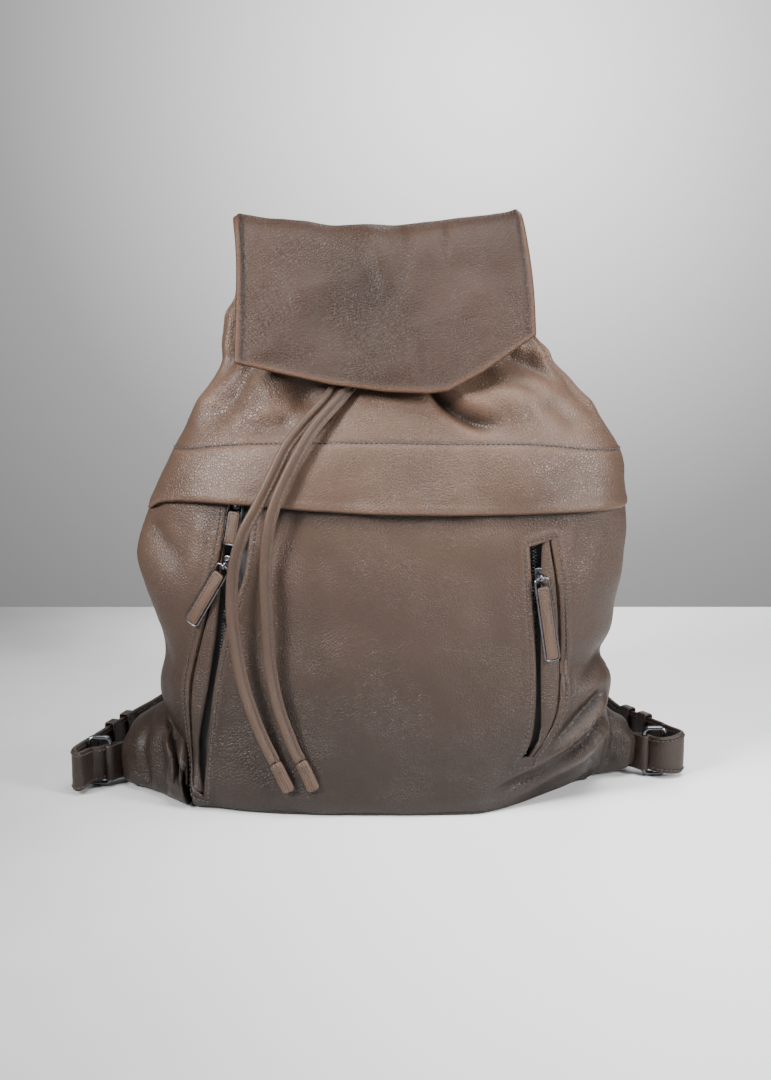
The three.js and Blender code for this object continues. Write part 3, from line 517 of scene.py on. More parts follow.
def lace_profile():
    """A folded strip: a round cord edge, a stitched groove and a thin flange."""
    bend = np.linspace(0.15 * math.pi, 1.2 * math.pi, 11)
    cord = np.stack([-1.75 + 2.05 * np.cos(bend), 0.15 + 1.75 * np.sin(bend)], 1)
    base = np.array([(-1.4, -1.5), (0.6, -1.35), (2.6, -1.2), (3.4, -1.0), (3.8, -0.3)])
    flange = np.array([(3.7, 0.35), (3.1, 0.62), (2.2, 0.5), (1.55, 0.15), (0.95, 0.3), (0.45, 0.75)])
    return np.concatenate([base, flange, cord])


def rounded_ends(path, reach, least=0.35):
    """Scale along a path that closes it with round ends of a length in millimetres."""
    run = np.concatenate([[0], np.cumsum(np.linalg.norm(np.diff(path, axis=0), axis=1))])
    near = np.minimum(run, run[-1] - run)
    t = np.clip(1 - near / reach, 0, 1)
    return np.maximum(np.sqrt(1 - t**2), least)


def frame_along(path, across):
    along = tangents(path)
    across = np.broadcast_to(np.asarray(across, float), path.shape)
    across = unit(across - along * (across * along).sum(1, keepdims=True))
    return across, np.cross(along, across)


for side, lace in LACES.items():
    tip_path = smooth_line(lace["tip"], 34)
    tip_profile = strap_profile(LACE_WIDTH + 0.6, 4.4, crown=0.1, groove=0.0)
    points, faces = sweep(tip_path, LACE_ACROSS, tip_profile, rounded_ends(tip_path, 1.4, 0.72))
    tip = make(f"drawstring_{side}_end", points, faces, PULLER_LEATHER,
               replaces=f"drawstring_{side}_tip")
    path = smooth_line(lace["route"], 220)
    points, faces = sweep(path, LACE_ACROSS, lace_profile())
    lace["piece"] = make(f"drawstring_{side}_lace", points, faces, LACE_LEATHER,
                         replaces=f"drawstring_{side}")
    across, up = frame_along(path, LACE_ACROSS)
    seam = (path + across * 2.3 + up * 0.55)[6:]
    tip_across, tip_up = frame_along(tip_path, LACE_ACROSS)
    bars = [(tip_path[k] + tip_across[k] * np.linspace(-3.2, 3.2, 9)[:, None] + tip_up[k] * 2.25,
             np.repeat(tip_up[k:k + 1], 9, 0)) for k in (6, 10)]
    thread = stitches(f"drawstring_{side}_stitching", [(seam, up[6:])], pitch=2.9, length=1.9, thick=0.3)
    tack = stitches(f"drawstring_{side}_tip_stitching", bars, pitch=2.1, length=1.7, thick=0.36)

# ---------------------------------------------------------------- the body's surface
def section(z):
    left, right, front, back, power = np.moveaxis(hermite(SECTIONS[:, 0], SECTIONS[:, 1:], z), -1, 0)
    return (left + right) / 2, (front + back) / 2, (right - left) / 2, (back - front) / 2, power


def body_point(angle, z, offset=0.0):
    """Angle 0 is the right side, a quarter turn is the front, a half turn the left side."""
    x, y, a, b, power = section(z)
    c, s = np.cos(angle), np.sin(angle)
    px = x + (a + offset) * np.sign(c) * np.abs(c) ** (2 / power)
    py = y - (b + offset) * np.sign(s) * np.abs(s) ** (2 / power)
    return np.stack(np.broadcast_arrays(px, py, z), -1)


def front_angle(x, z):
    """The angle at which the front of the body has a given x."""
    cx, _, a, _, power = section(z)
    share = np.clip((x - cx) / a, -0.9995, 0.9995)
    return np.arccos(np.sign(share) * np.abs(share) ** (power / 2))


def body_normal(angle, z):
    step = 0.004
    around = body_point(angle + step, z) - body_point(angle - step, z)
    rise = body_point(angle, z + 1.0) - body_point(angle, z - 1.0)
    return unit(np.cross(rise, around))


DENSE = np.linspace(0, math.pi, 1601)
NOMINAL = np.stack([150 * np.sign(np.cos(DENSE)) * np.abs(np.cos(DENSE)) ** 0.82,
                    -66 * np.sin(DENSE) ** 0.82], 1)
SHARE = np.concatenate([[0], np.cumsum(np.linalg.norm(np.diff(NOMINAL, axis=0), axis=1))])
SHARE /= SHARE[-1]


def share_of(angle):
    return np.interp(angle, DENSE, SHARE)


def angle_of(share):
    return np.interp(share, SHARE, DENSE)


# How far the sides swell (outwards on the right, inwards on the left, in x) by height.
LEFT_SLACK = np.array([(0, 0), (60, 0), (75, 2), (90, 4.5), (140, 4.5), (160, 0), (216, 0), (236, -4.5),
                       (246, -7.5), (256, -8.5), (264, -6), (275, -2), (300, 0)], float)
RIGHT_SLACK = np.array([(0, -4), (45, -7), (56, -9), (66, -6.5), (80, -3), (130, -3), (156, -3.5),
                        (175, -1), (205, 0), (216, 2.5), (226, 3.5), (246, 3.5), (256, 5), (264, 2),
                        (275, 0)], float)


def slack(curve, z):
    return hermite(curve[:, 0], curve[:, 1:], z)[..., 0]


def tuck(points):
    """The sides sag and swell, and the base's front corners are drawn in: the right one back
    towards the strap, the left one inwards."""
    p = points.copy()
    height = np.clip(points[..., 2], 0, 352)
    cx, _, a, _, _ = section(height)
    share = (points[..., 0] - cx) / a
    p[..., 0] += smoothstep(0.82, 1.0, -share) * slack(LEFT_SLACK, height)
    p[..., 0] += smoothstep(0.82, 1.0, share) * slack(RIGHT_SLACK, height)
    right = smoothstep(52, 128, p[..., 0]) * smoothstep(5, -42, p[..., 1])
    left = smoothstep(-116, -156, p[..., 0]) * smoothstep(30, -16, p[..., 1])
    corner = smoothstep(-104, -134, p[..., 0]) * smoothstep(0, -34, p[..., 1])
    p[..., 1] += 30 * right * (1 - smoothstep(2, 46, p[..., 2]))
    p[..., 0] += 24 * left * (1 - smoothstep(10, 86, p[..., 2]))
    p[..., 1] -= 11 * corner * (1 - smoothstep(0, 40, p[..., 2]))
    front = smoothstep(-20, -58, points[..., 1]) * (1 - right)
    p[..., 1] -= 5.5 * front * (1 - smoothstep(2, 36, p[..., 2]))
    return p


def dress(angle, z, offset, height):
    """Points of the body at an offset, moved along the surface's normal by a height."""
    points = body_point(angle, z, offset)
    return tuck(points + body_normal(angle, z) * np.asarray(height, float)[..., None])


def tone_of(height, reach=3, gain=0.55):
    """Painted highlight on ridges and painted shade in creases: how far a point stands over its
    surroundings.
    """
    smooth = height.copy()
    for _ in range(reach):
        padded = np.pad(smooth, 1, mode="edge")
        smooth = (padded[:-2, 1:-1] + padded[2:, 1:-1] + padded[1:-1, :-2] + padded[1:-1, 2:]) / 4
    return np.clip((height - smooth) * gain, -1, 1)


# ---------------------------------------------------------------- front panel and its windows
# Edges of each zip window, from the bottom up, as (x, z).
WINDOWS = {
    "left": {
        "left": [(-127, 16), (-126, 46), (-125, 75), (-122, 92), (-112, 131), (-104, 162), (-99, 190),
                 (-97, 213)],
        "right": [(-115, 10), (-113.5, 30), (-112.2, 45), (-110.4, 60), (-107.4, 82), (-99.5, 117),
                  (-88, 150), (-85, 165), (-82, 190), (-80, 213)],
        "bottom": (17, 10), "top": (213, 213),
    },
    "right": {
        "left": [(84, 33), (90.5, 46), (93, 60), (94, 78), (93.4, 106), (90.5, 144), (88.6, 170)],
        "right": [(91, 33), (103, 50), (108.5, 62), (111, 80), (110.5, 106), (108, 144), (103, 174)],
        "bottom": (36, 36), "top": (171, 175),
    },
}


def window_edge(side, edge, z):
    line = smooth_line(WINDOWS[side][edge], 80)
    return np.interp(z, line[:, 1], line[:, 0])


def window_distance(x, z, side):
    """Distance outside a window's nearest edge, in millimetres."""
    w = WINDOWS[side]
    left, right = window_edge(side, "left", z), window_edge(side, "right", z)
    across = np.maximum(np.maximum(left - x, x - right), 0)
    middle = (x - left) / np.maximum(right - left, 1)
    low = w["bottom"][0] + (w["bottom"][1] - w["bottom"][0]) * np.clip(middle, 0, 1)
    high = w["top"][0] + (w["top"][1] - w["top"][0]) * np.clip(middle, 0, 1)
    along = np.maximum(np.maximum(low - z, z - high), 0)
    return np.hypot(across, along)


def panel_folds(x, z):
    """Relief of the lower front panel where it faces forwards, in x and z."""
    h = 1.2 * ripples(x, z, 11, 45, 120, 1.0, 8) + ripples(x, z, 12, 16, 34, 0.16)
    # Slack drawn towards the right strap, under the right window.
    h += fold(x, z, [(66, 25), (86, 34), (104, 45), (122, 58), (146, 75)], sink=7.0, width=5,
              roll=5.0, at=-9, spread=6, fade=(0.35, 0.12))
    h += fold(x, z, [(60, 12), (84, 19), (106, 31), (126, 44), (150, 58)], sink=7.0, width=4.2,
              roll=5.0, at=-9, spread=6.5, fade=(0.3, 0.1))
    h += fold(x, z, [(44, 6), (78, 7), (106, 13), (130, 24), (150, 34)], sink=2.6, width=4, fade=(0.3, 0.2))
    h += fold(x, z, [(96, 30), (112, 37), (130, 50)], sink=1.8, width=2.6, fade=(0.4, 0.4))
    h += fold(x, z, [(120, 76), (134, 86), (150, 99)], sink=2.4, width=5, roll=1.5, at=-8, spread=6,
              fade=(0.5, 0.2))
    # Soft hollows and swells of the slack front.
    h += fold(x, z, [(56, 168), (66, 125), (76, 80)], sink=2.6, width=13, fade=(0.4, 0.4))
    h += fold(x, z, [(40, 180), (64, 176), (84, 166)], roll=2.4, at=0, spread=15, fade=(0.4, 0.4))
    h += fold(x, z, [(-44, 186), (-44, 140), (-38, 96), (-22, 60)], sink=2.6, width=11, fade=(0.2, 0.5))
    h += fold(x, z, [(-66, 190), (-64, 130), (-58, 80), (-40, 40)], roll=1.8, at=0, spread=12,
              fade=(0.2, 0.5))
    h += fold(x, z, [(112, 192), (116, 160), (118, 130)], roll=2.6, at=0, spread=10, fade=(0.3, 0.4))
    h += fold(x, z, [(-112, 192), (-114, 168), (-112, 140)], roll=2.8, at=0, spread=10, fade=(0.3, 0.4))
    h += fold(x, z, [(118, 190), (119, 165), (116, 140)], sink=2.2, width=7, fade=(0.3, 0.5))
    h += fold(x, z, [(-150, 186), (-140, 170), (-120, 158)], sink=2.0, width=7, fade=(0.2, 0.6))
    h += fold(x, z, [(-158, 108), (-146, 96), (-134, 90)], sink=2.6, width=7, fade=(0.1, 0.6))
    h += fold(x, z, [(-104, 6), (-40, 5), (20, 6)], roll=1.0, at=0, spread=7, fade=(0.3, 0.3))
    # Fine wrinkles that run with the folds at the right corner.
    drawn = smoothstep(60, 110, x) * (1 - smoothstep(60, 90, z + 0.1 * x))
    h += drawn * ripples(0.85 * x + 0.5 * z, 0.3 * z - 0.15 * x, 13, 3.4, 8, 0.26)
    # Doubled leather round the windows: a raised border and the stitches' groove.
    for side in WINDOWS:
        d = window_distance(x, z, side)
        h = h * (1 - 0.85 * np.exp(-((d / 13) ** 2)))
        h += (0.75 * (1 - smoothstep(5.2, 7.4, d)) - 0.4 * gauss(d - 3.1, 0.75)
              - 0.5 * (1 - smoothstep(0, 1.3, d)))
    return h


def side_folds(angle, z):
    """Valleys that run round the sides of the body, over the drawn-out corners."""
    right = smoothstep(0.55, 0.98, np.cos(angle))
    return -7.5 * gauss(z - 92, 11) * right - 2.0 * gauss(z - 128, 16) * right


def seam_dip(angle, z, depth=1.6, width=2.4):
    """The side seams pull in a narrow valley, puckered by their stitches."""
    away = np.minimum(np.abs(angle), np.abs(angle - math.pi)) * 55 + np.abs(np.sin(angle)) * 20
    return -depth * np.exp(-away / width) * (1 + 0.25 * np.sin(z * 1.1))


def spaced(counts, knots):
    """Knots joined by even steps, counts steps between one knot and the next."""
    parts = [knots[k] + (knots[k + 1] - knots[k]) * (np.arange(n) / n)[:, None]
             for k, n in enumerate(counts)]
    return np.concatenate([*parts, knots[-1][None]])


def build_front_panel():
    counts_across = [44, 15, 118, 13, 46]              # side, window, middle, window, side
    counts_up = [16, 104, 34]
    column = np.concatenate([k + np.arange(n) / n for k, n in enumerate(counts_across)] + [[5.0]])
    # From the right side to the left: the right window's columns come first.
    low = np.interp(column, [0, 1, 2, 3, 4, 5], [30, 36, 36, 10, 17, 14])
    high = np.interp(column, [0, 1, 2, 3, 4, 5], [172, 175, 171, 213, 213, 205])
    ends = [np.full(len(column), 2.9), low, high, np.full(len(column), PANEL_TOP)]
    z = spaced(counts_up, ends)
    knots = np.stack([
        np.full(z.shape, SEAM),
        front_angle(window_edge("right", "right", z), z), front_angle(window_edge("right", "left", z), z),
        front_angle(window_edge("left", "right", z), z), front_angle(window_edge("left", "left", z), z),
        np.full(z.shape, math.pi - SEAM)], -1)
    shares = share_of(knots)
    k = np.minimum(column.astype(int), 4)
    t = (column - k)[None]
    rows = np.arange(z.shape[0])[:, None]
    angle = angle_of(shares[rows, np.arange(len(column))[None], k[None]] * (1 - t)
                     + shares[rows, np.arange(len(column))[None], k[None] + 1] * t)
    angle = np.clip(angle, SEAM, math.pi - SEAM)
    x = body_point(angle, z)[..., 0]
    height = (panel_folds(x, z) * smoothstep(0.0, 0.35, np.sin(angle))
              + seam_dip(angle, z) + side_folds(angle, z))
    height *= smoothstep(-4, 12, z) * 0.85 + 0.15
    quads = grid_quads(*z.shape)
    starts = np.concatenate([[0], np.cumsum(counts_across)])
    keep = np.ones(quads.shape[:2], bool)
    for window in (1, 3):
        keep[counts_up[0]:counts_up[0] + counts_up[1], starts[window]:starts[window + 1]] = False
    outer = dress(angle, z, 0, height)
    inner = dress(angle, z, -LEATHER, height)
    points, faces = thicken(outer, inner, quads[keep])
    used = np.unique(np.concatenate([f.ravel() for f in faces]))
    index = np.full(len(points), -1)
    index[used] = np.arange(len(used))
    tone = np.zeros(len(points))
    # Partly edge wear and partly painted highlight: the windows' raised borders are lightened.
    edge_wear_and_highlight = sum(0.35 * gauss(window_distance(x, z, side), 1.3) for side in WINDOWS)
    # Painted shadow: the yoke's hem casts it over the panel just below its edge.
    hem_shadow = 0.95 * smoothstep(179, 193, z) * smoothstep(-125, -90, x) * smoothstep(140, 100, x)
    tone[:z.size] = (tone_of(height, 6) + edge_wear_and_highlight - hem_shadow).ravel()
    make("front_panel_leather", points[used], [index[f] for f in faces], BODY_LEATHER,
         replaces="front_panel", shade=tone[used])


def on_front(x, z, offset=0.0, lift=0.0):
    """Points and normals on the dressed front panel at given x and z."""
    x, z = np.asarray(x, float), np.asarray(z, float)
    angle = front_angle(x, z)
    height = (panel_folds(x, z) * smoothstep(0.0, 0.35, np.sin(angle))
              * (smoothstep(-4, 12, z) * 0.85 + 0.15))
    return dress(angle, z, offset, height + lift), body_normal(angle, z)


def window_stitching():
    lines = []
    for side, w in WINDOWS.items():
        step = 3.1
        left, right = smooth_line(w["left"], 60), smooth_line(w["right"], 60)
        foot = np.array([left[0], right[0]])
        if side == "right":
            head = np.array([left[-1], right[-1]])
            loop = np.concatenate([left[::-1] + (-step, 0), foot + [(-step, -step), (step, -step)],
                                   right + (step, 0), head[::-1] + [(step, step), (-step, step)]])
        else:
            loop = np.concatenate([left[::-1] + (-step, 0), foot + [(-step, -step), (step, -step)],
                                   right + (step, 0)])
        loop = smooth_line(loop, 260)
        points, normals = on_front(loop[:, 0], loop[:, 1], 0, 0.05)
        lines.append((points, normals))
    stitches("window_stitching", lines)


build_front_panel()
window_stitching()


# ---------------------------------------------------------------- behind the windows
def slider_frame(name):
    """A puller's hinge, and the directions side, up and out at its slider."""
    lift, slide = JOINTS[name + "_puller_lift"], JOINTS[name + "_zip_slide"]
    hinge = np.array(lift["pos_m"]) / MM
    up, side = -unit(slide["axis"]), -unit(lift["axis"])
    side = unit(side - up * (side @ up))
    return hinge, side, up, np.cross(side, up)


BAIL = {"right": 4.2, "left_upper": 1.0, "left_lower": 4.2}
TILT = {"right": 0.16, "left_upper": -0.02, "left_lower": -0.42}
LENGTH = {"right": 54.0, "left_upper": 27.5, "left_lower": 46.0}
PULLER_WIDTH = 10.8


def slider_seat(name):
    """The middle of a slider, which lies under its bail."""
    hinge, _, up, out = slider_frame(name)
    return hinge + 0.9 * up - (BAIL[name] - 1.85) * out


def chain_line(side):
    """The zip's line as (x, z), through the sliders' seats, from the bottom up."""
    if side == "right":
        seat = slider_seat("right")
        return np.array([(seat[0] - 6, 33), (seat[0], 60), (seat[0], seat[2]), (seat[0] - 0.5, 176)])
    low, high = slider_seat("left_lower"), slider_seat("left_upper")
    foot = low - 135 * slider_frame("left_lower")[2]
    return np.array([(foot[0] + 0.4, foot[2]), (low[0], low[2]), (high[0], high[2]), (high[0] + 3, 214)])


def welt_edges(side, z):
    if side == "right":
        left = np.interp(z, [33, 47, 55, 70, 106, 150, 176], [88.5, 97.2, 99.0, 98.8, 98.4, 97.8, 98])
        right = window_edge("right", "right", z) - np.interp(z, [33, 55, 70, 176], [0.2, 0.9, 1.1, 1.3])
        return left, np.maximum(right, left + 0.5)
    left = window_edge("left", "left", z) + np.interp(z, [10, 20, 60, 130, 213], [0.8, 1.2, 1.2, 1.6, 1.8])
    right = np.interp(z, [10, 20, 28, 45, 60, 82, 117, 160, 213],
                      [-115.6, -118.0, -119.6, -119.6, -117.0, -112.6, -106.8, -101.9, -95.5])
    return left, right


def front_strip(left, right, z, across, depth, thick, material, name, replaces, crown=0.0,
                shade=True):
    """A strip under the front panel between two edges, given for a column of heights."""
    u = np.linspace(0, 1, across)[None]
    x = left[:, None] * (1 - u) + right[:, None] * u
    zz = np.broadcast_to(z[:, None], x.shape)
    angle = front_angle(x, zz)
    height = crown * np.sqrt(np.clip(1 - (2 * u - 1) ** 4, 0, 1)) + ripples(x, zz, 21, 14, 40, 0.12)
    outer = dress(angle, zz, -depth, height)
    inner = dress(angle, zz, -depth - thick, height * 0.6)
    # Columns run from left to right here, so the faces are turned round.
    points, faces = thicken(outer, inner, grid_quads(*x.shape)[..., ::-1])
    tone = tone_of(height, 3) if shade else None
    return make(name, points, faces, material, replaces=replaces, shade=tone)


def build_zip(side):
    line = smooth_line(chain_line(side), 120)
    low, high = {"right": (35, 174), "left": (13, 213)}[side]
    z = np.linspace(low, high, 150)
    left, right = welt_edges(side, z)
    front_strip(left, right, z, 13, 1.05, 1.3, BODY_LEATHER, f"{side}_welt", f"{side}_zip_welt",
                0.7)
    z = np.linspace(low - 3, high + 2, 60)
    centre = np.interp(z, line[:, 1], line[:, 0])
    front_strip(centre - 12, centre + 12, z, 9, 6.4, 0.8, ZIP_TAPE, f"{side}_tape",
                f"{side}_zip_tape", shade=False)
    front_strip(centre - 19, centre + 17, z, 12, 8.2, 1.2, LINING, f"{side}_pocket_lining",
                f"{side}_pocket_bag", shade=False)
    # Turned edge of the window, under its border.
    border = []
    for edge, sign in (("left", -1), ("right", 1)):
        x = window_edge(side, edge, z)
        u = np.linspace(0, 1, 5)[None]
        xs = x[:, None] + sign * (0.3 + 4.4 * u)
        zs = np.broadcast_to(z[:, None], xs.shape)
        angle = front_angle(xs, zs)
        outer, inner = dress(angle, zs, -1.75, 0 * xs), dress(angle, zs, -2.7, 0 * xs)
        quads = grid_quads(*xs.shape)
        border.append(thicken(outer, inner, quads if sign < 0 else quads[..., ::-1]))
    points, faces = joined(border)
    make(f"{side}_window_facing", points, faces, BACK_LEATHER,
         replaces=f"{side}_pocket_facing")
    # Teeth: two rows that mesh, on a corded bead.
    run = np.arange(low, high, 1.05)
    x = np.interp(run, line[:, 1], line[:, 0])
    angle = front_angle(x, run)
    place, out = body_point(angle, run, -5.2), body_normal(angle, run)
    along = tangents(place)
    across = np.cross(along, out)
    block = np.array([(1.25 * sx, 0.42 * sy, 0.55 * sz) for sz in (-1, 1)
                      for sx, sy in ((-1, -1), (1, -1), (1, 1), (-1, 1))])
    block[4:, :2] *= 0.72
    sides = [np.array([(0, 3, 2, 1), (4, 5, 6, 7), (0, 1, 5, 4), (1, 2, 6, 5), (2, 3, 7, 6), (3, 0, 4, 7)])]
    parts = []
    for k in range(len(run)):
        at = place[k] + across[k] * (0.75 if k % 2 else -0.75)
        parts.append((at + block[:, :1] * across[k] + block[:, 1:2] * along[k] + block[:, 2:] * out[k],
                      sides))
    points, faces = joined(parts)
    make(f"{side}_zip_teeth", points, faces, ZIP_METAL, replaces=f"{side}_zip_chain")


for pocket_side in ("right", "left"):
    build_zip(pocket_side)

# ---------------------------------------------------------------- yoke, neck and back
YOKE_EDGE = np.array([(-156, 187), (-150, 192), (-143, 196), (-126, 198.5), (-83, 198), (-40, 195.6),
                      (0, 193.8), (58, 193), (107, 193), (132, 192.6), (148, 192), (158, 191.5)], float)
STITCH_LINE = np.array([(-160, 224), (-125, 228), (-95, 232.5), (-40, 235), (30, 235), (94, 233),
                        (128, 229), (160, 224)], float)
HALF_TURN = np.linspace(0, 1, 251)


def yoke_offset(z, angle=None):
    """How far the yoke stands off the body: least at its ends, which are sewn into the side seams."""
    away = 1.0 if angle is None else 0.22 + 0.78 * smoothstep(0.12, 0.62, np.sin(angle))
    return YOKE_STANDOFF * (1 - smoothstep(224, 262, z)) * away


def line_height(line, x):
    curve = smooth_line(line, 120)
    return np.interp(x, curve[:, 0], curve[:, 1])


def bump(x, z, cx, cz, rx, rz, height, turn=0.0):
    u = (x - cx) * math.cos(turn) + (z - cz) * math.sin(turn)
    v = -(x - cx) * math.sin(turn) + (z - cz) * math.cos(turn)
    return height * np.exp(-((u / rx) ** 2) - (v / rz) ** 2)


def neck_pleats(angle, z):
    """Gathers of the drawn neck, all round, strongest at the drawstring's channel."""
    wave = (np.sin(15 * angle + 0.6) + 0.6 * np.sin(23 * angle + 1.9 + 0.01 * z)
            + 0.35 * np.sin(9 * angle + 4))
    strength = 2.3 * smoothstep(236, 276, z) * (1 - 0.45 * smoothstep(300, 350, z))
    points = body_point(angle, z)
    front = smoothstep(0.1, -8, points[..., 1])
    eyelets = gauss(points[..., 0] + 19, 17) * gauss(z - CHANNEL_Z, 15) * front
    cinch = -2.2 * gauss(z - CHANNEL_Z, 7) * (1 - eyelets)
    drawn = -9.0 * smoothstep(284, 300, z) * smoothstep(0.72, 0.97, np.cos(angle))
    drawn -= 5.0 * smoothstep(308, 322, z) * smoothstep(0.72, 0.97, -np.cos(angle))
    return strength * wave * (1 - 0.9 * eyelets) + cinch + drawn


def yoke_folds(x, z):
    """Relief of the front yoke in x and z: puffs and creases under the flap, then the band."""
    h = ripples(x, z, 31, 40, 90, 0.7, 8) + ripples(x, z, 32, 12, 30, 0.16)
    # Right of the middle: a deep crease and the puff over it.
    h += fold(x, z, [(22, 290), (26, 274), (33, 262), (44, 253), (58, 246.5), (76, 243)], sink=9.5,
              width=4.4, roll=3.4, at=8, spread=7, fade=(0.1, 0.35))
    h += bump(x, z, 72, 260, 26, 12, 8.0, -0.12)
    h += bump(x, z, 103, 268, 16, 20, 2.5, -0.6)
    h += fold(x, z, [(70, 294), (84, 283), (100, 273), (121, 256), (134, 243)], sink=3.2, width=5,
              roll=2.4, at=8, spread=6, fade=(0.15, 0.3))
    h += fold(x, z, [(92, 262), (108, 252), (122, 240)], sink=2.2, width=5, fade=(0.4, 0.3))
    h += fold(x, z, [(62, 268), (84, 266), (102, 259)], sink=1.2, width=3.0, fade=(0.4, 0.4))
    # The middle lies flat between the laces and the crease.
    h += bump(x, z, -4, 254, 25, 15, 3.2)
    h += fold(x, z, [(-30, 272), (-37, 256), (-44, 241)], sink=2.6, width=5, fade=(0.2, 0.4))
    # Left: a dark hollow beside the laces and two soft swells.
    h += bump(x, z, -50, 264, 11, 9, -8.0, 0.3)
    h += bump(x, z, -74, 262, 15, 16, 5.0, 0.5)
    h += bump(x, z, -103, 256, 14, 15, 3.6, 0.8)
    h += fold(x, z, [(-86, 282), (-90, 266), (-98, 252), (-112, 240)], sink=4.2, width=5, fade=(0.15, 0.35))
    h += fold(x, z, [(-52, 252), (-68, 244), (-92, 238)], sink=2.6, width=6, roll=1.2, at=-8, spread=6,
              fade=(0.3, 0.4))
    # The band: slow swells that catch the light.
    h += bump(x, z, 82, 213, 15, 24, 2.4) - bump(x, z, 57, 214, 10, 24, 1.6)
    h += bump(x, z, 22, 214, 17, 26, -2.4)
    h += bump(x, z, -48, 214, 22, 24, 1.6)
    h += bump(x, z, 118, 222, 13, 20, -1.6, 0.3)
    h += bump(x, z, -108, 218, 24, 18, 1.2)
    # Fine creases where the leather is pushed together.
    push = smoothstep(236, 250, z) * smoothstep(40, 70, np.abs(x - 8))
    h += push * ripples(0.85 * x + 0.4 * z, 0.3 * z - 0.2 * x, 33, 4.5, 10, 0.14)
    d = z - line_height(STITCH_LINE, x)
    h += 0.7 * (1 - smoothstep(-2.2, 0.4, d)) - 0.5 * gauss(d, 0.9)
    return h


def yoke_height(angle, z):
    x = body_point(angle, z, yoke_offset(z, angle))[..., 0]
    facing = smoothstep(0.0, 0.4, np.sin(angle))
    h = (yoke_folds(x, z) * facing
         + neck_pleats(angle, z) * (1 - 0.75 * facing * (1 - smoothstep(268, 290, z))))
    edge = z - line_height(YOKE_EDGE, x)
    h += 0.5 * gauss(edge - 2.5, 2.2) + 0.9 * np.sin(x * 0.055 + 0.8) * gauss(edge, 9)
    return h + seam_dip(angle, z, 1.2, 2.6)


def build_front_yoke():
    share = np.interp(HALF_TURN, [0, 1], [share_of(SEAM), share_of(math.pi - SEAM)])
    angle = angle_of(share)[None] + np.zeros((112, 1))
    v = np.concatenate([np.linspace(0, 0.03, 6)[:-1], np.linspace(0.03, 1, 107)])[:, None]
    low = line_height(YOKE_EDGE, body_point(angle[0], 195.0 + 0 * angle[0], YOKE_STANDOFF)[:, 0])[None]
    z = low + (NECK_TOP - low) * v
    height = yoke_height(angle, z)
    above = z - low
    thick = 1.4 + 1.5 * (1 - smoothstep(HEM_RISE - 2, HEM_RISE + 1, above))
    outer = dress(angle, z, yoke_offset(z, angle), height)
    inner = dress(angle, z, yoke_offset(z, angle) - thick, height)
    points, faces = thicken(outer, inner, grid_quads(*z.shape), 0.5)
    x = body_point(angle, z, yoke_offset(z, angle))[..., 0]
    # Painted highlight along the hem's rolled lower edge and painted shade along the stitch line's groove;
    # rim lightens the cut edges, partly real edge wear and partly painted highlight.
    tone = tone_of(height, 6) + 0.5 * gauss(above, 1.6) - 0.5 * gauss(z - line_height(STITCH_LINE, x), 0.9)
    rim = np.full(len(points) - 2 * z.size, 0.4)
    shade = np.concatenate([tone.ravel(), tone.ravel() * 0, rim])
    make("front_yoke_leather", points, faces, BODY_LEATHER, replaces=("front_yoke", "yoke_hem"),
         shade=shade)
    line_x = np.linspace(-143, 148, 230)
    line_z = line_height(STITCH_LINE, line_x)
    at = front_angle_offset(line_x, line_z)
    seat = dress(at, line_z, yoke_offset(line_z, at), yoke_height(at, line_z) + 0.1)
    stitches("yoke_stitching", [(seat, body_normal(at, line_z))])


def front_angle_offset(x, z):
    """The angle at which the standing-off yoke has a given x."""
    cx, _, a, _, power = section(z)
    angle = front_angle(x, z)
    for _ in range(8):
        share = np.clip((x - cx) / (a + yoke_offset(z, angle)), -0.9995, 0.9995)
        angle = np.arccos(np.sign(share) * np.abs(share) ** (power / 2))
    return angle


def wall_height(angle, z):
    """Relief of the bag's wall, front and back, for what lies inside it."""
    front = np.sin(angle) >= 0
    return np.where(front, yoke_height(np.where(front, angle, 1.5), z),
                    back_height(np.where(front, 4.5, angle), z))


def back_relief(angle, z):
    x = body_point(angle, z)[..., 0]
    h = 1.6 * ripples(x, z, 41, 50, 120, 1.0, 8) + ripples(x, z, 42, 14, 34, 0.2)
    h += fold(x, z, [(-120, 196), (-60, 206), (10, 204), (90, 208)], sink=1.6, width=9, fade=(0.4, 0.4))
    h += fold(x, z, [(-128, 30), (-96, 52), (-60, 58)], sink=3.0, width=7, roll=2, at=9, spread=7,
              fade=(0.1, 0.5))
    h += fold(x, z, [(128, 32), (98, 52), (64, 56)], sink=3.0, width=7, roll=2, at=-9, spread=7,
              fade=(0.1, 0.5))
    h += fold(x, z, [(-30, 24), (0, 20), (40, 26)], roll=1.6, at=0, spread=10, fade=(0.4, 0.4))
    straps = smoothstep(270, 288, z) * (1 - smoothstep(50, 62, np.abs(x)))
    h = h * (1 - 0.9 * straps)
    return h * smoothstep(0.0, 0.35, -np.sin(angle)) + seam_dip(angle % (2 * math.pi) - math.pi, z)


def back_height(angle, z):
    x = body_point(angle, z)[..., 0]
    straps = (smoothstep(272, 290, z) * (1 - smoothstep(48, 62, np.abs(x)))
              * smoothstep(0, 0.3, -np.sin(angle)))
    join = (gauss(z - PANEL_TOP - 2.5, 2.0) * 0.5 - gauss(z - PANEL_TOP, 0.8) * 0.6
            - 0.35 * gauss(z - PANEL_TOP - 5, 0.8))
    return back_relief(angle, z) + neck_pleats(angle, z) * (1 - straps) + join + side_folds(angle, z)


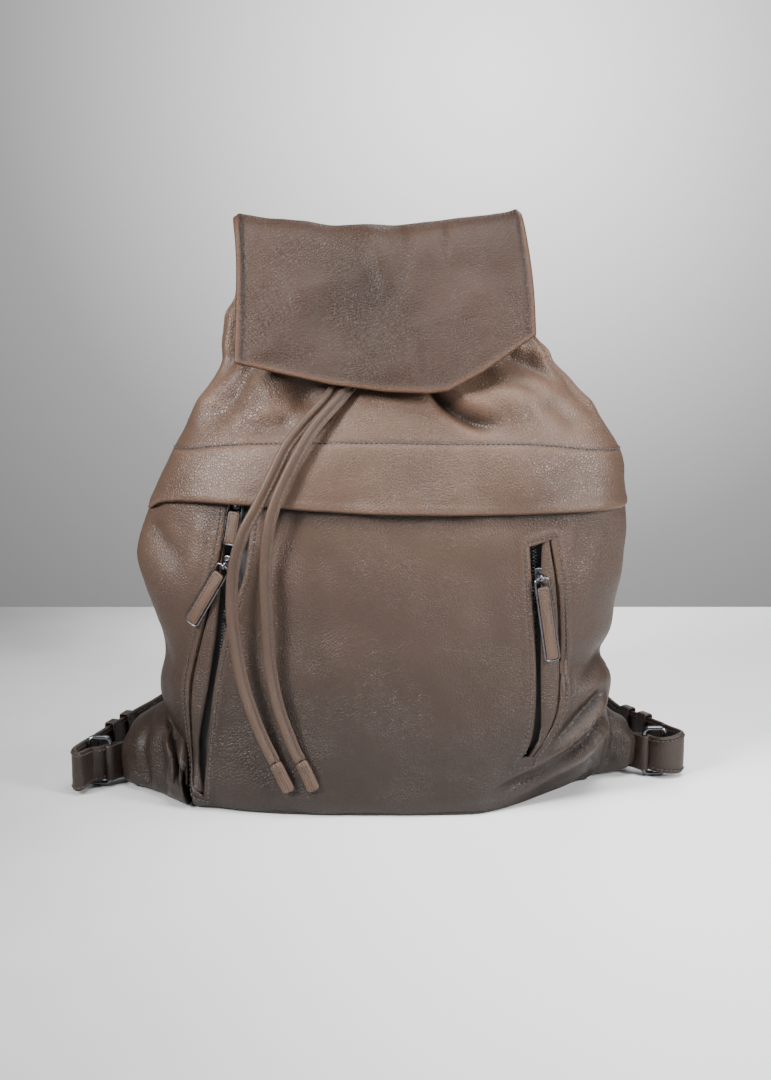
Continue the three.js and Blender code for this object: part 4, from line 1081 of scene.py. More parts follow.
def build_back():
    share = np.interp(HALF_TURN[::2], [0, 1], [share_of(SEAM), share_of(math.pi - SEAM)])
    around = math.pi + angle_of(share)
    for name, low, high, rows in (("back_panel", 2.9, PANEL_TOP, 96),
                                  ("back_yoke", PANEL_TOP + 0.4, NECK_TOP, 64)):
        z = np.linspace(low, high, rows)[:, None] + 0 * around[None]
        angle = around[None] + 0 * z
        height = back_height(angle, z) * (smoothstep(-4, 12, z) * 0.85 + 0.15)
        points, faces = thicken(dress(angle, z, 0, height), dress(angle, z, -LEATHER, height),
                                grid_quads(*z.shape))
        make(f"{name}_leather", points, faces, BODY_LEATHER, replaces=name,
             shade=tone_of(height, 6))
    line_z = np.full(260, PANEL_TOP + 5.0)
    at = math.pi + angle_of(np.linspace(0.03, 0.97, 260))
    seat = dress(at, line_z, 0, back_height(at, line_z) + 0.1)
    stitches("back_stitching", [(seat, body_normal(at, line_z))])


def all_round(shares):
    """Angles once round the body, from shares of the way round one half of it."""
    return np.concatenate([angle_of(shares), math.pi + angle_of(shares)])


def build_neck_facing():
    around = all_round(HALF_TURN[:-1:2])
    z = np.linspace(264, NECK_TOP - 1.2, 56)[:, None] + 0 * around[None]
    angle = around[None] + 0 * z
    height = wall_height(angle, z)
    quads = grid_quads(*z.shape, wrap=True)
    points, faces = thicken(dress(angle, z, -3.8, height), dress(angle, z, -4.9, height), quads)
    make("neck_facing_leather", points, faces, BACK_LEATHER, replaces="neck_facing")


def rounded_rectangle(width, height, radius, per_corner=8):
    corners = []
    for k, (sx, sy) in enumerate(((1, 1), (-1, 1), (-1, -1), (1, -1))):
        turn = np.linspace(k * math.pi / 2, (k + 1) * math.pi / 2, per_corner)
        corners.append(np.stack([sx * (width / 2 - radius) + radius * np.cos(turn),
                                 sy * (height / 2 - radius) + radius * np.sin(turn)], 1))
    return np.concatenate(corners)


def plate(outline, thick, edge=0.4, steps=4):
    """A flat plate with rounded edges from a closed outline (x, y), from -thick/2 to thick/2."""
    centre = outline.mean(0)
    reach = np.linalg.norm(outline - centre, axis=1, keepdims=True)
    inward = (outline - centre) / reach
    rings = []
    for k in range(2 * steps + 1):
        turn = -math.pi / 2 + math.pi * k / (2 * steps)
        inset = edge * (1 - math.cos(turn))
        level = (thick / 2 - edge) * np.sign(turn) + edge * math.sin(turn)
        rings.append(np.concatenate([outline - inward * inset, np.full((len(outline), 1), level)], 1))
    return capped(np.stack(rings))


def body_ring(inset, count):
    angle = all_round(np.arange(count // 2) / (count // 2))
    return body_point(angle, 0 * angle, -inset)


def build_base():
    """The base's leather: from the middle of its underside outwards, round its edge and in."""
    outline = body_ring(0.0, 200)
    centre = outline.mean(0)
    reach = np.linalg.norm(outline - centre, axis=1, keepdims=True)
    rings = []
    for inset, height in ((130, 0.35), (90, 0.3), (60, 0.25), (36, 0.2), (20, 0.1), (10, 0), (4, 0),
                          (1.6, 0.25), (0.3, 0.9), (-0.3, 1.8), (0.2, 2.7), (4, 2.75)):
        ring = centre + (outline - centre) * np.maximum(1 - inset / reach, 0.06)
        ring[:, 2] = height
        rings.append(tuck(ring))
    points, faces = capped(np.stack(rings))
    make("base_leather", points, [f[:, ::-1] for f in faces], BODY_LEATHER,
         replaces="base_panel")


# How far the lining stands in from the leather, at the front pockets and above them.
ROOM_BEHIND_POCKETS, ROOM_BESIDE_POCKETS, ROOM_ABOVE = 13.5, 15.0, 4.0


def build_lining():
    around = all_round(HALF_TURN[:-1:4])

    def ring_points(z, inset):
        x, y, a, b, _ = section(z)
        p = body_point(around, z + 0 * around, -4.4 - inset)
        front = np.maximum(0, (y - p[:, 1]) / b)
        p[:, 1] += front * (ROOM_BEHIND_POCKETS - ROOM_ABOVE) * (1 - smoothstep(214, 240, z))
        side = (ROOM_BESIDE_POCKETS - ROOM_ABOVE) * (1 - smoothstep(214, 244, z))
        p[:, 0] = x + (p[:, 0] - x) * (1 - side / a)
        ripple = ripples(np.arange(len(around)) * 2.0, z, 51, 20, 60, 0.8)
        p[:, 1] += ripple * 0.6
        yielding = np.minimum(wall_height(around, z + 0 * around), 0) * smoothstep(228, 240, z)
        return tuck(p + body_normal(around, z + 0 * around) * yielding[:, None])

    heights = np.concatenate([[5.6, 7, 10], np.linspace(16, 262, 50)])
    outer = np.stack([ring_points(z, 0.0) for z in heights])
    inner = np.stack([ring_points(z, 0.9) for z in heights])
    outer[..., 2] = heights[:, None]
    inner[..., 2] = np.maximum(heights, 6.6)[:, None]
    points, faces = thicken(outer, inner, grid_quads(*outer.shape[:2], wrap=True))
    # The bag's floor closes both faces, so only the rim at its mouth is kept.
    count, size = len(around), len(points)
    ring = np.arange(count)
    after = (ring + 1) % count
    inside = len(heights) * count
    under = np.stack([np.full(count, size), after, ring], 1)
    floor = np.stack([np.full(count, size + 1), inside + ring, inside + after], 1)
    rim = [wall[(points[wall][:, :, 2] > 20).all(1)] for wall in faces[2:]]
    points = np.concatenate([points, outer[:1].mean(1), inner[:1].mean(1)])
    make("lining_bag", points, [faces[0], faces[1], *rim, under, floor], LINING,
         replaces="lining")


def build_board():
    """The stiffener inside the base, drawn in at the corners with it."""
    outline = tuck(body_ring(7.0, 160))[:, :2]
    points, faces = plate(outline, 2.0, 0.4, 2)
    points[:, 2] += 3.9
    make("stiffener_board", points, faces, BOARD, replaces="base_board")


build_front_yoke()
build_back()
build_neck_facing()
build_base()
build_board()
build_lining()


# ---------------------------------------------------------------- drawstring channel
def lathe(centre, axis, profile, sides=40):
    """A closed profile of (radius, height) turned about an axis."""
    axis = unit(axis)
    first = unit(np.cross(axis, (1, 0, 0) if abs(axis[0]) < 0.8 else (0, 0, 1)))
    second = np.cross(axis, first)
    turn = np.linspace(0, 2 * math.pi, sides, endpoint=False)
    profile = np.asarray(profile, float)
    ring = np.cos(turn)[:, None] * first + np.sin(turn)[:, None] * second
    points = centre + profile[:, None, :1] * ring[None] + profile[:, None, 1:] * axis
    quads = grid_quads(len(profile), sides, wrap=True, loop=True)
    return points.reshape(-1, 3), [quads.reshape(-1, 4)[:, ::-1]]


def build_channel():
    angle = all_round(HALF_TURN[:-1:2])
    level = np.full(len(angle), CHANNEL_Z)
    ring = dress(angle, level, -7.2, wall_height(angle, level))
    points, faces = sweep(ring, (0, 0, 1), round_profile(3.8, 3.8, 12), closed=True)
    make("drawstring_in_channel", points, faces, LACE_LEATHER, replaces="drawstring_loop")
    rim = [(2.9, -1.4), (3.5, -1.4), (3.6, 0.5), (5.0, 0.45), (5.3, 0.8), (5.1, 1.25), (4.2, 1.75),
           (3.3, 1.6), (2.9, 1.0)]
    for side in LACES:
        exit_x = LACES[side]["route"][0][0]
        x, z = np.array([float(exit_x)]), np.array([CHANNEL_Z])
        angle = front_angle(x, z)
        out = body_normal(angle, z)[0]
        points, faces = lathe(body_point(angle, z)[0] + out * 0.5, out, rim)
        make(f"eyelet_{side}_ring", points, faces, GUNMETAL, replaces=f"eyelet_{side}")


build_channel()

# ---------------------------------------------------------------- flap
FLAP_RUN = smooth_line([
    (24.6, 322), (24, 338), (20.8, 352), (12.5, 361.5), (1, 364.8), (-10.5, 361), (-19.5, 351),
    (-28.5, 334), (-38.5, 313), (-49, 292), (-58, 272), (-61.5, 262)], 600)
FLAP_SLOPE = unit(np.gradient(FLAP_RUN, axis=0))
FLAP_EDGE = np.array([(-94, 285), (-91, 284), (-60, 277), (-34, 271.5), (0, 267), (26, 266), (38, 267.5),
                      (58, 278), (76, 290), (91, 300), (94, 302)], float)
FLAP_BEND = ("root", "flap", (0, 23, 345), (0, -4, 345))


def run_at(t):
    place = np.clip(t, 0, 1) * (len(FLAP_RUN) - 1)
    line = np.arange(len(FLAP_RUN))
    point = np.stack([np.interp(place, line, FLAP_RUN[:, k]) for k in range(2)], -1)
    slope = np.stack([np.interp(place, line, FLAP_SLOPE[:, k]) for k in range(2)], -1)
    return point, unit(slope)


def flap_reach(x):
    """Share of the run at which the flap's lower edge is met."""
    edge = np.interp(x, FLAP_EDGE[:, 0], FLAP_EDGE[:, 1])
    half = FLAP_RUN[300:][::-1]
    return 1 - np.interp(edge, half[:, 1], np.arange(len(half)) / (len(FLAP_RUN) - 1))


def flap_folds(x, z, t, inset):
    """Relief of the flap; inset is the distance from its nearest free edge."""
    front = smoothstep(0.33, 0.42, t)
    h = ripples(x, z, 61, 34, 80, 0.8, 9) + ripples(x, z, 62, 10, 24, 0.10)
    g = fold(x, z, [(-22, 366), (-15, 345), (-7, 324), (-1, 300), (4, 280)], sink=1.8, width=8.5,
             roll=2.2, at=12, spread=11, fade=(0.05, 0.55))
    g += fold(x, z, [(9, 366), (11.5, 347), (9, 331), (1, 314), (-3, 300)], sink=1.2, width=4.6,
              roll=1.6, at=8, spread=8, fade=(0.05, 0.5))
    g += fold(x, z, [(37, 366), (38, 350), (37, 336)], sink=1.3, width=2.6, roll=0.8, at=5, spread=4,
              fade=(0.05, 0.6))
    g += fold(x, z, [(-84, 283), (-72, 292), (-56, 306)], roll=1.5, at=0, spread=6, fade=(0.1, 0.6))
    g += fold(x, z, [(-44, 330), (-34, 308), (-26, 284)], sink=3.2, width=12, fade=(0.4, 0.5))
    g += fold(x, z, [(24, 268), (22, 288), (14, 306)], sink=1.1, width=4.5, fade=(0.05, 0.7))
    g += fold(x, z, [(72, 348), (76, 322), (80, 302)], sink=1.0, width=8, fade=(0.4, 0.4))
    g += fold(x, z, [(-62, 352), (-52, 328), (-34, 300)], roll=2.2, at=0, spread=10, fade=(0.3, 0.5))
    g += fold(x, z, [(52, 340), (50, 318), (44, 296)], roll=2.4, at=0, spread=12, fade=(0.4, 0.5))
    push = gauss(x - 26, 30) * gauss(z - 282, 20)
    g += push * ripples(x, 0.25 * z, 63, 4.0, 8.0, 0.13)
    h += g * front
    h *= smoothstep(-2, 12, inset)
    side = FLAP_HALF_WIDTH - np.abs(x)
    lip = gauss(side - 3.6, 1.1) * smoothstep(0.33, 0.40, t) * (smoothstep(0.8, 0.45, t) + 0.3 * (x < 0))
    return h + 0.5 * (1 - smoothstep(1.2, 5.0, inset)) - 1.3 * lip


def flap_grid(columns, rows, trim):
    """x, share of the run, and the distance to the free edges, over the whole flap."""
    x = np.linspace(-FLAP_HALF_WIDTH + trim, FLAP_HALF_WIDTH - trim, columns)[None] + np.zeros((rows, 1))
    length = line_length(FLAP_RUN)
    end = flap_reach(x) - trim / length
    v = np.linspace(0, 1, rows)[:, None]
    v = v + 0.02 * np.sin(2 * math.pi * v)
    t = end * v
    sides = FLAP_HALF_WIDTH - np.abs(x)
    edge = (flap_reach(x) - t) * length * 0.93
    return x, t, np.minimum(sides, edge)


def flap_face(x, t, sunk, lift):
    point, slope = run_at(t)
    reach = np.abs(x) / FLAP_HALF_WIDTH
    rounding = 2.6 * smoothstep(0.955, 1.0, reach) ** 2 * gauss(t - 0.3, 0.1)
    ear = -rounding + np.where(x < 0, 7.5 * reach ** 2.2, 10.5 * reach ** 1.7) * gauss(t - 0.3, 0.16)
    spread = 1 + np.where(x < 0, 0.042 * gauss(t - 0.30, 0.14), -0.075 * gauss(t - 0.30, 0.2))
    # The corners of the flap lean out from the bag, its middle rests on it.
    away = 3.2 * (np.abs(x) / FLAP_HALF_WIDTH) ** 2 * smoothstep(0.45, 1.0, t)
    depth = lift - sunk
    return np.stack([x * spread, point[..., 0] + slope[..., 1] * depth - away,
                     point[..., 1] - slope[..., 0] * depth + ear], -1)


def build_flap():
    for name, sunk, thick, trim, material, slot, nodes, columns, rows in (
            ("flap_leather", 0.0, 1.7, 0.0, FLAP_LEATHER, "leather", ("flap", "flap_seam_strip"), 190, 200),
            ("flap_back_leather", 1.95, 1.2, 1.4, BACK_LEATHER, "leather_back", "flap_lining", 96, 100)):
        x, t, inset = flap_grid(columns, rows, trim)
        point, _ = run_at(t)
        height = flap_folds(x, point[..., 1], t, inset)
        outer = flap_face(x, t, sunk, height)
        inner = flap_face(x, t, sunk + thick, height)
        quads = grid_quads(*x.shape)
        points, faces = thicken(outer, inner, quads, 0.5)
        side = FLAP_HALF_WIDTH - np.abs(x)
        # Painted shade: a dark stripe in the groove inside the turned side edges, stronger on the left, and
        # a darker zone over the soft fold in the flap's middle.
        edge_groove_shade = gauss(side - 4.0, 1.8) * (0.35 + 0.4 * (x < 0))
        shaded = 0.5 * gauss(x + 14, 24) * gauss(t - 0.60, 0.13) * smoothstep(0, 12, inset)
        # Painted highlight, with some real edge wear, on the rolled lip along the free edges; the rim's cut
        # edge is lightened the same way.
        tone = (tone_of(height, 6) + 0.95 * gauss(inset, 1.6) + 0.3 * (1 - smoothstep(1, 4, inset))
                - edge_groove_shade - shaded)
        shade = np.concatenate([tone.ravel(), 0 * tone.ravel(), np.full(len(points) - 2 * x.size, 0.75)])
        make(name, points, faces, material, body=FLAP_BEND, replaces=nodes, shade=shade)


def build_snap():
    disc = [(0.01, -0.9), (6.6, -0.9), (7.4, -0.6), (7.6, 0), (7.4, 0.5), (6.4, 0.9), (4.4, 0.9),
            (3.9, 0.5), (0.01, 0.5)]
    for node, body in (("snap_plate", "root"), ("snap_stud", "flap")):
        low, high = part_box(node)
        centre = np.array((low + high) / 2) / MM
        lean = math.atan2(0.5, 1.0)
        points, faces = lathe(centre, (0, -math.cos(lean), math.sin(lean)), np.array(disc) * (0.92, 0.9))
        make(node + "_disc", points, faces, GUNMETAL, body=body, replaces=node)


build_flap()
build_snap()


# ---------------------------------------------------------------- sliders and pullers
def placed(shape, origin, side, up, out):
    points, faces = shape
    return origin + points[:, :1] * side + points[:, 1:2] * up + points[:, 2:] * out, faces


def build_slider(name):
    hinge, side, up, out = slider_frame(name)
    origin = slider_seat(name)
    bail = BAIL[name]
    crown = np.array([(-3.0, 3.4), (-2.6, 4.7), (-1.2, 5.1), (1.2, 5.1), (2.6, 4.7), (3.0, 3.4),
                      (2.5, -2.8), (2.0, -4.6), (1.1, -5.1), (-1.1, -5.1), (-2.0, -4.6), (-2.5, -2.8)])
    crown = smooth_line(np.concatenate([crown, crown[:1]]), 49)[:-1]
    body = plate(crown, 1.5, 0.5)
    body[0][:, 2] -= 2.45
    rise = np.linspace(0, 1, 25)
    arch = np.stack([0 * rise, -4.0 + 6.2 * rise,
                     -1.9 + (bail - 0.4 + 1.9) * np.sin(math.pi * rise) ** 0.45], 1)
    hook = sweep(arch, (1, 0, 0), round_profile(2.2, 0.9, 10))
    shapes = [placed(body, origin, side, up, out), placed(hook, origin, side, up, out)]
    points, faces = joined(shapes)
    make(f"{name}_slider_body", points, faces, GUNMETAL, body=f"{name}_slider",
         replaces=f"{name}_slider")
    turn = TILT[name]
    turned_side = side * math.cos(turn) + up * math.sin(turn)
    turned_up = up * math.cos(turn) - side * math.sin(turn)
    build_puller(name, hinge, turned_side, turned_up, out)


def build_puller(name, hinge, side, up, out):
    length, body = LENGTH[name], f"{name}_puller"
    wire = 1.5
    outline = rounded_rectangle(PULLER_WIDTH - wire, length + 0.2 - wire, 2.6)
    outline[:, 1] -= length / 2 - 0.6
    loop = np.concatenate([outline, np.zeros((len(outline), 1))], 1)
    frame_shape = sweep(loop, (0, 0, 1), round_profile(wire, wire, 10), closed=True)
    points, faces = placed(frame_shape, hinge, side, up, out)
    make(f"{name}_puller_loop", points, faces, GUNMETAL, body=body,
         replaces=f"{name}_puller_frame")
    width = PULLER_WIDTH - 2 * wire - 0.2
    top, low = -5.5, -length + 0.4 + wire
    tab = rounded_rectangle(width, top - low, 1.6)
    tab[:, 1] += (top + low) / 2
    points, faces = placed(plate(tab, 2.3, 0.8), hinge, side, up, out)
    make(f"{name}_puller_tab", points, faces, PULLER_LEATHER, body=body,
         replaces=f"{name}_puller_leather")
    edge = rounded_rectangle(width - 2.6, top - low - 2.8, 1.0)
    edge[:, 1] += (top + low) / 2
    edge = np.concatenate([edge, edge[:1]])
    line = smooth_line(edge, 120)
    line = np.concatenate([line, np.full((len(line), 1), 1.12)], 1)
    seat = hinge + line[:, :1] * side + line[:, 1:2] * up + line[:, 2:] * out
    stitches(f"{name}_puller_stitching", [(seat, np.broadcast_to(out, seat.shape))], body=body, pitch=2.3,
             length=1.5, thick=0.3)


for slider_name in BAIL:
    build_slider(slider_name)


# ---------------------------------------------------------------- base corners and straps
STRAP_LIFT = 2.6                # how far a strap's lower edge stands off the floor
STRAP_MID = STRAP_WIDTH / 2 + STRAP_LIFT
UP = (0, 0, 1)
SIDES = {
    "left": {"sign": -1, "ring": (184, -14), "fold": (202, -30), "leg": [(194, 2), (175, 58)],
             "flex": [(190, -9), (192, 2)]},
    "right": {"sign": 1, "ring": (176, 6), "fold": (198, 6), "leg": [(190, 26), (164, 68)],
              "flex": [(188, 13), (189, 26)]},
}
# Stations of each drawn-out corner: reach, front, back, top, lift off the floor.
CORNERS = {
    "left": [(112, -58, 50, 62, 0), (126, -64, 50, 58, 0), (136, -54, 50, 57, 0), (146, -41, 46, 53, 0),
             (156, -31, 42, 47, 0.5), (164, -24, 34, 41, 1.5), (170, -20, 22, 36, 3),
             (173.5, -16, 10, 31, 6)],
    "right": [(104, -40, 50, 58, 0), (118, -28, 50, 56, 0), (130, -16, 48, 54, 0), (141, -8, 46, 50, 0.5),
              (150, -4, 42, 45, 1), (157, -2, 36, 41, 2), (162.5, 0, 28, 36, 4), (166, 4, 20, 31, 7)],
}


def strap(name, stations, width, thickness, steps, material, body="root", replaces=(), stitched=True,
          crown=0.25, ends=1.2):
    """A strap along stations of (place, direction of its width), stitched along both edges."""
    places = smooth_line([s[0] for s in stations], steps)
    knots = np.linspace(0, 1, len(stations))
    turn = taken_at(np.linspace(0, 1, steps), knots, [s[1] for s in stations])
    groove = 0.4 if stitched else 0.0
    wide = np.asarray(width, float)
    widths = wide + np.zeros(steps) if wide.ndim == 0 else np.interp(np.linspace(0, 1, steps), knots, wide)
    profile = strap_profile(widths.max(), thickness, crown, groove)
    scale = np.stack([widths / widths.max() * rounded_ends(places, ends, 0.86),
                      rounded_ends(places, ends, 0.5)], 1)
    points, faces = sweep(places, turn, profile, scale)
    piece = make(name, points, faces, material, body=body, replaces=replaces)
    if stitched:
        across, up = frame_along(places, turn)
        lines = []
        for edge in (-1, 1):
            for face in (-1, 1):
                lift = thickness / 2 + (0.05 if face > 0 else 0.0)
                seam = places + across * (edge * (widths / 2 - SEAM_INSET))[:, None] + up * (face * lift)
                lines.append((seam[2:-2], up[2:-2] * face))
        stitches(name + "_stitching", lines, body=body)
    return piece


def behind_panel(shape, sign):
    """Keeps a corner behind the front panel where the two overlap."""
    angle = math.pi / 2 - sign * np.linspace(0, 0.48, 60) * math.pi
    levels = np.linspace(0, 80, 21)
    panel = tuck(body_point(angle, levels[:, None]))
    panel[..., 0] = np.maximum.accumulate(sign * panel[..., 0], axis=1)
    x = sign * shape[..., 0]
    fronts = np.stack([np.interp(x, row[:, 0], row[:, 1]) for row in panel])
    place = np.clip(shape[..., 2] / (levels[1] - levels[0]), 0, len(levels) - 1.001)
    low = place.astype(int)
    below = np.take_along_axis(fronts, low[None], 0)[0]
    above = np.take_along_axis(fronts, low[None] + 1, 0)[0]
    front = below + (above - below) * (place - low)
    widest = np.interp(shape[..., 2], levels, panel[:, -1, 0])
    clear = 1.6 + 15 * smoothstep(136, 128, x)
    short = np.maximum(front + clear - shape[..., 1], 0) * smoothstep(widest + 1, widest - 4, x)
    shape[..., 1] += short * smoothstep(45, 15, short)
    return shape


def build_corner(side, sign):
    stations = np.array(CORNERS[side], float)
    count, sides = 60, 72
    reach = smooth_line(np.column_stack([stations[:, 0], np.arange(len(stations))]), count)
    knots = np.arange(len(stations), dtype=float)
    rows = hermite(knots, stations, reach[:, 1])
    turn = np.linspace(0, 2 * math.pi, sides, endpoint=False)
    rings = []
    for x, front, back, top, lift in rows:
        c, s = np.cos(turn), np.sin(turn)
        bend = np.where(s < 0, 0.36 if sign < 0 else 0.7, 2 / 2.3)
        y = (front + back) / 2 + (back - front) / 2 * np.sign(c) * np.abs(c) ** bend
        z = (top + lift) / 2 + (top - lift) / 2 * np.sign(s) * np.abs(s) ** bend
        rings.append(np.stack([np.full(sides, x), y, z], 1))
    tail = rings[-1]
    centre = tail.mean(0)
    for shrink, push in ((0.86, 0.9), (0.62, 1.8), (0.3, 2.3)):
        rings.append(centre + (tail - centre) * shrink + (push, 0, 0))
    shape = np.stack(rings)
    normal = unit(np.cross(np.gradient(shape, axis=0), np.roll(shape, -1, 1) - np.roll(shape, 1, 1)))
    y, z = shape[..., 1], shape[..., 2]
    x = shape[..., 0]
    h = (ripples(x, z + 0.3 * y, 71 + sign, 14, 40, 1.0, 10)
         + ripples(0.9 * x + 0.4 * z, 0.3 * y, 73, 4.5, 10, 0.16))
    start = stations[2, 0]
    h += fold(x, z, [(start + 2, 60), (start + 8, 34), (start + 6, 4)], sink=2.4, width=3.6, roll=1.6,
              at=-6, spread=4, fade=(0.1, 0.1)) * smoothstep(10, -10, y)
    h += fold(x, z, [(start + 18, 52), (start + 21, 26), (start + 17, 2)], sink=1.6, width=3.0, roll=1.0,
              at=-5, spread=4, fade=(0.1, 0.2)) * smoothstep(10, -10, y)
    h += fold(x, z, [(start - 10, 12), (start + 10, 14), (start + 30, 13)], sink=1.6, width=4, roll=1.2,
              at=6, spread=5, fade=(0.2, 0.3))
    h *= smoothstep(0, 8, z)
    shape = shape - normal * h[..., None]
    shape[..., 2] = np.maximum(shape[..., 2], 0.0)
    shape[..., 0] *= sign
    shape = behind_panel(shape, sign)
    points, faces = capped(shape)
    if sign > 0:
        faces = [f[:, ::-1] for f in faces]
    make(f"{side}_corner", points, faces, BODY_LEATHER, replaces=f"{side}_corner_wing",
         shade=tone_of(h, 4))


def build_side(side, sign, ring, fold_at, leg, flex):
    def at(x, y, z=STRAP_MID):
        """A place, or a direction, given for the right side."""
        return sign * x, y, z

    def on_leg(share):
        return tuple(np.array(leg[0]) + (np.array(leg[1]) - leg[0]) * share)

    build_corner(side, sign)
    inner, outer = ring[0] - 7, ring[0] + 6.2
    body = f"{side}_strap"
    # Tab that wraps the ring's inner bar.
    bar = ring[0] - 2.4
    strap(f"{side}_tab", [(at(inner - 12, ring[1] + 9), UP), (at(inner - 3, ring[1] + 4.4), UP),
                          (at(bar - 0.5, ring[1] - 2.9), UP), (at(bar + 2.9, ring[1] - 0.4), UP),
                          (at(bar + 0.6, ring[1] + 2.8), UP), (at(inner - 3, ring[1] + 6.6), UP),
                          (at(inner - 11, ring[1] + 11), UP)], 24, 2.0, 60, STRAP_LEATHER,
          replaces=f"{side}_anchor_tab", stitched=False)
    # Ring of round wire, standing upright.
    half = STRAP_WIDTH / 2 + 1.6 + RING_WIRE / 2
    loop = rounded_rectangle(17 - RING_WIRE, 2 * half - RING_WIRE, 3.4, 10)
    middle = np.array(at(ring[0] + 4.4, ring[1], half + 0.3))
    path = np.stack([middle[0] + loop[:, 0], np.full(len(loop), middle[1]), middle[2] + loop[:, 1]], 1)
    points, faces = sweep(path, (0, 1, 0), round_profile(RING_WIRE, RING_WIRE, 16), closed=True)
    make(f"{side}_ring_wire", points, faces, GUNMETAL, body=f"{side}_ring",
         replaces=f"{side}_ring")
    bend = ("root", body, at(*flex[0]), at(*flex[1]))
    strap(f"{side}_strap_turn", [
        (at(outer - 6, ring[1] + 3.2), UP), (at(outer - 3.4, ring[1] - 2.4), UP),
        (at(outer + 3, ring[1] - 6.5), UP), (at(fold_at[0] - 3, fold_at[1] - 4), UP),
        (at(fold_at[0] + 1, fold_at[1] + 3), UP), (at(leg[0][0] + 1.4, leg[0][1] - 4), UP),
        (at(leg[0][0], leg[0][1] - 0.3), UP)],
          [23, 24, 25.5, STRAP_WIDTH, STRAP_WIDTH, STRAP_WIDTH, STRAP_WIDTH], STRAP_THICKNESS, 90,
          STRAP_LEATHER, body=bend, replaces=f"{side}_strap_loop")
    strap(f"{side}_lower_webbing", [(at(*on_leg(t)), UP) for t in (0, 0.35, 0.7, 1)] + [
        (at(148, 86, 26), at(0.25, 0, 1)), (at(124, 96, 44), at(0.7, 0, 0.8)),
        (at(109, 97, 62), at(0.95, 0, 0.4))], STRAP_WIDTH, STRAP_THICKNESS, 120, STRAP_LEATHER, body=body,
          replaces=f"{side}_lower_strap")
    pad = strap(f"{side}_shoulder_cushion", [
        (at(105.2, 97, 69), at(0.95, 0, 0.4)), (at(92, 96, 98), at(0.96, 0, 0.3)),
        (at(76, 90, 150), at(1, 0, 0.25)), (at(60, 80, 205), at(1, 0, 0.22)),
        (at(46, 66, 255), at(1, 0, 0.2)), (at(38, 56, 284), at(1, 0, 0.2))],
                [30, 38, 38, 38, 34, 30], 5.4, 130, STRAP_LEATHER, body=body,
                replaces=f"{side}_shoulder_pad", crown=1.3, ends=4)
    top_bend = ("root", body, at(24, 27, 332), at(38, 60, 285))
    strap(f"{side}_strap_end", [
        (at(38.4, 57, 282), at(1, 0, 0.2)), (at(31, 40, 308), at(1, 0, 0.2)),
        (at(27, 28.5, 325), at(1, 0, 0.1))], [27, 27, 27], 3.4, 40, STRAP_LEATHER, body=top_bend,
          replaces=f"{side}_strap_top")
    heading = unit(np.array([sign * (leg[1][0] - leg[0][0]), leg[1][1] - leg[0][1], 0.0]))
    for name, share, rides in (("outer", 0.42, f"{side}_outer_keeper"), ("inner", 0.78, body)):
        x, y = on_leg(share)
        loop = rounded_rectangle(STRAP_THICKNESS + 3.0, STRAP_WIDTH + 2.8, 1.6, 6)
        thick_way = np.array([heading[1], -heading[0], 0])
        path = np.array(at(x, y)) + loop[:, :1] * thick_way + loop[:, 1:] * np.array(UP)
        points, faces = sweep(path, heading, strap_profile(9.0, 1.3, 0.15, 0.2, 1.6), closed=True)
        make(f"{side}_{name}_loop", points, faces, STRAP_LEATHER, body=rides,
             replaces=f"{side}_{name}_keeper")


for side_name, spec in SIDES.items():
    build_side(side_name, spec["sign"], spec["ring"], spec["fold"], spec["leg"], spec["flex"])


# ---------------------------------------------------------------- strap patch and haul loop
PATCH_HALF, PATCH_Z = (48, 16), 302


def back_surface(x, z, lift):
    """Points over the back of the body at a distance, at given x and z."""
    cx, cy, a, b, power = section(z)
    y = cy + (b + lift) * (1 - np.abs((x - cx) / a) ** power) ** (1 / power)
    return np.stack(np.broadcast_arrays(x, y, z), -1)


def build_patch():
    x = np.linspace(-PATCH_HALF[0], PATCH_HALF[0], 100)[None] + np.zeros((36, 1))
    z = np.linspace(PATCH_Z - PATCH_HALF[1], PATCH_Z + PATCH_HALF[1], 36)[:, None] + 0 * x
    inset = np.minimum(PATCH_HALF[0] - np.abs(x), PATCH_HALF[1] - np.abs(z - PATCH_Z))
    puff = 0.9 * smoothstep(0, 7, inset) * (0.6 + 0.4 * np.cos(x / 13)) - 0.4 * gauss(inset - 3, 0.8)
    outer, inner = back_surface(x, z, 2.6 + puff), back_surface(x, z, 0.7 + 0.5 * puff)
    points, faces = thicken(outer, inner, grid_quads(*x.shape)[..., ::-1], 0.5)
    make("strap_end_patch", points, faces, STRAP_LEATHER, replaces="strap_patch",
         shade=tone_of(puff, 3))
    loop = rounded_rectangle(90, 26, 4, 10)
    loop = smooth_line(np.concatenate([loop, loop[:1]]), 300)
    seam = back_surface(loop[:, 0], PATCH_Z + loop[:, 1], 2.75)
    stitches("strap_patch_stitching", [(seam, np.broadcast_to((0.0, 1.0, 0.0), seam.shape))])


def build_haul_loop():
    def back(z):
        return float(body_point(np.array([1.5 * math.pi]), np.array([float(z)]))[0, 1])

    stations = [((-11, back(300) + 5, 304), (1, 0, 0)), ((-11, back(280) + 9, 284), (1, 0, 0.2)),
                ((-6, back(262) + 12, 263), (0.5, 0, 1)), ((6, back(262) + 12, 263), (-0.5, 0, 1)),
                ((11, back(280) + 9, 284), (-1, 0, 0.2)), ((11, back(300) + 5, 304), (-1, 0, 0))]
    strap("haul_handle", stations, 11, 3.6, 110, STRAP_LEATHER, body="haul_loop", replaces="haul_loop",
          crown=0.5)


build_patch()
build_haul_loop()

# ---------------------------------------------------------------- light and floor
FLOOR_REACH, FLOOR_FRONT, FLOOR_BACK = 2.4, -2.2, 0.49
BACKDROP_STRENGTH = 2.3


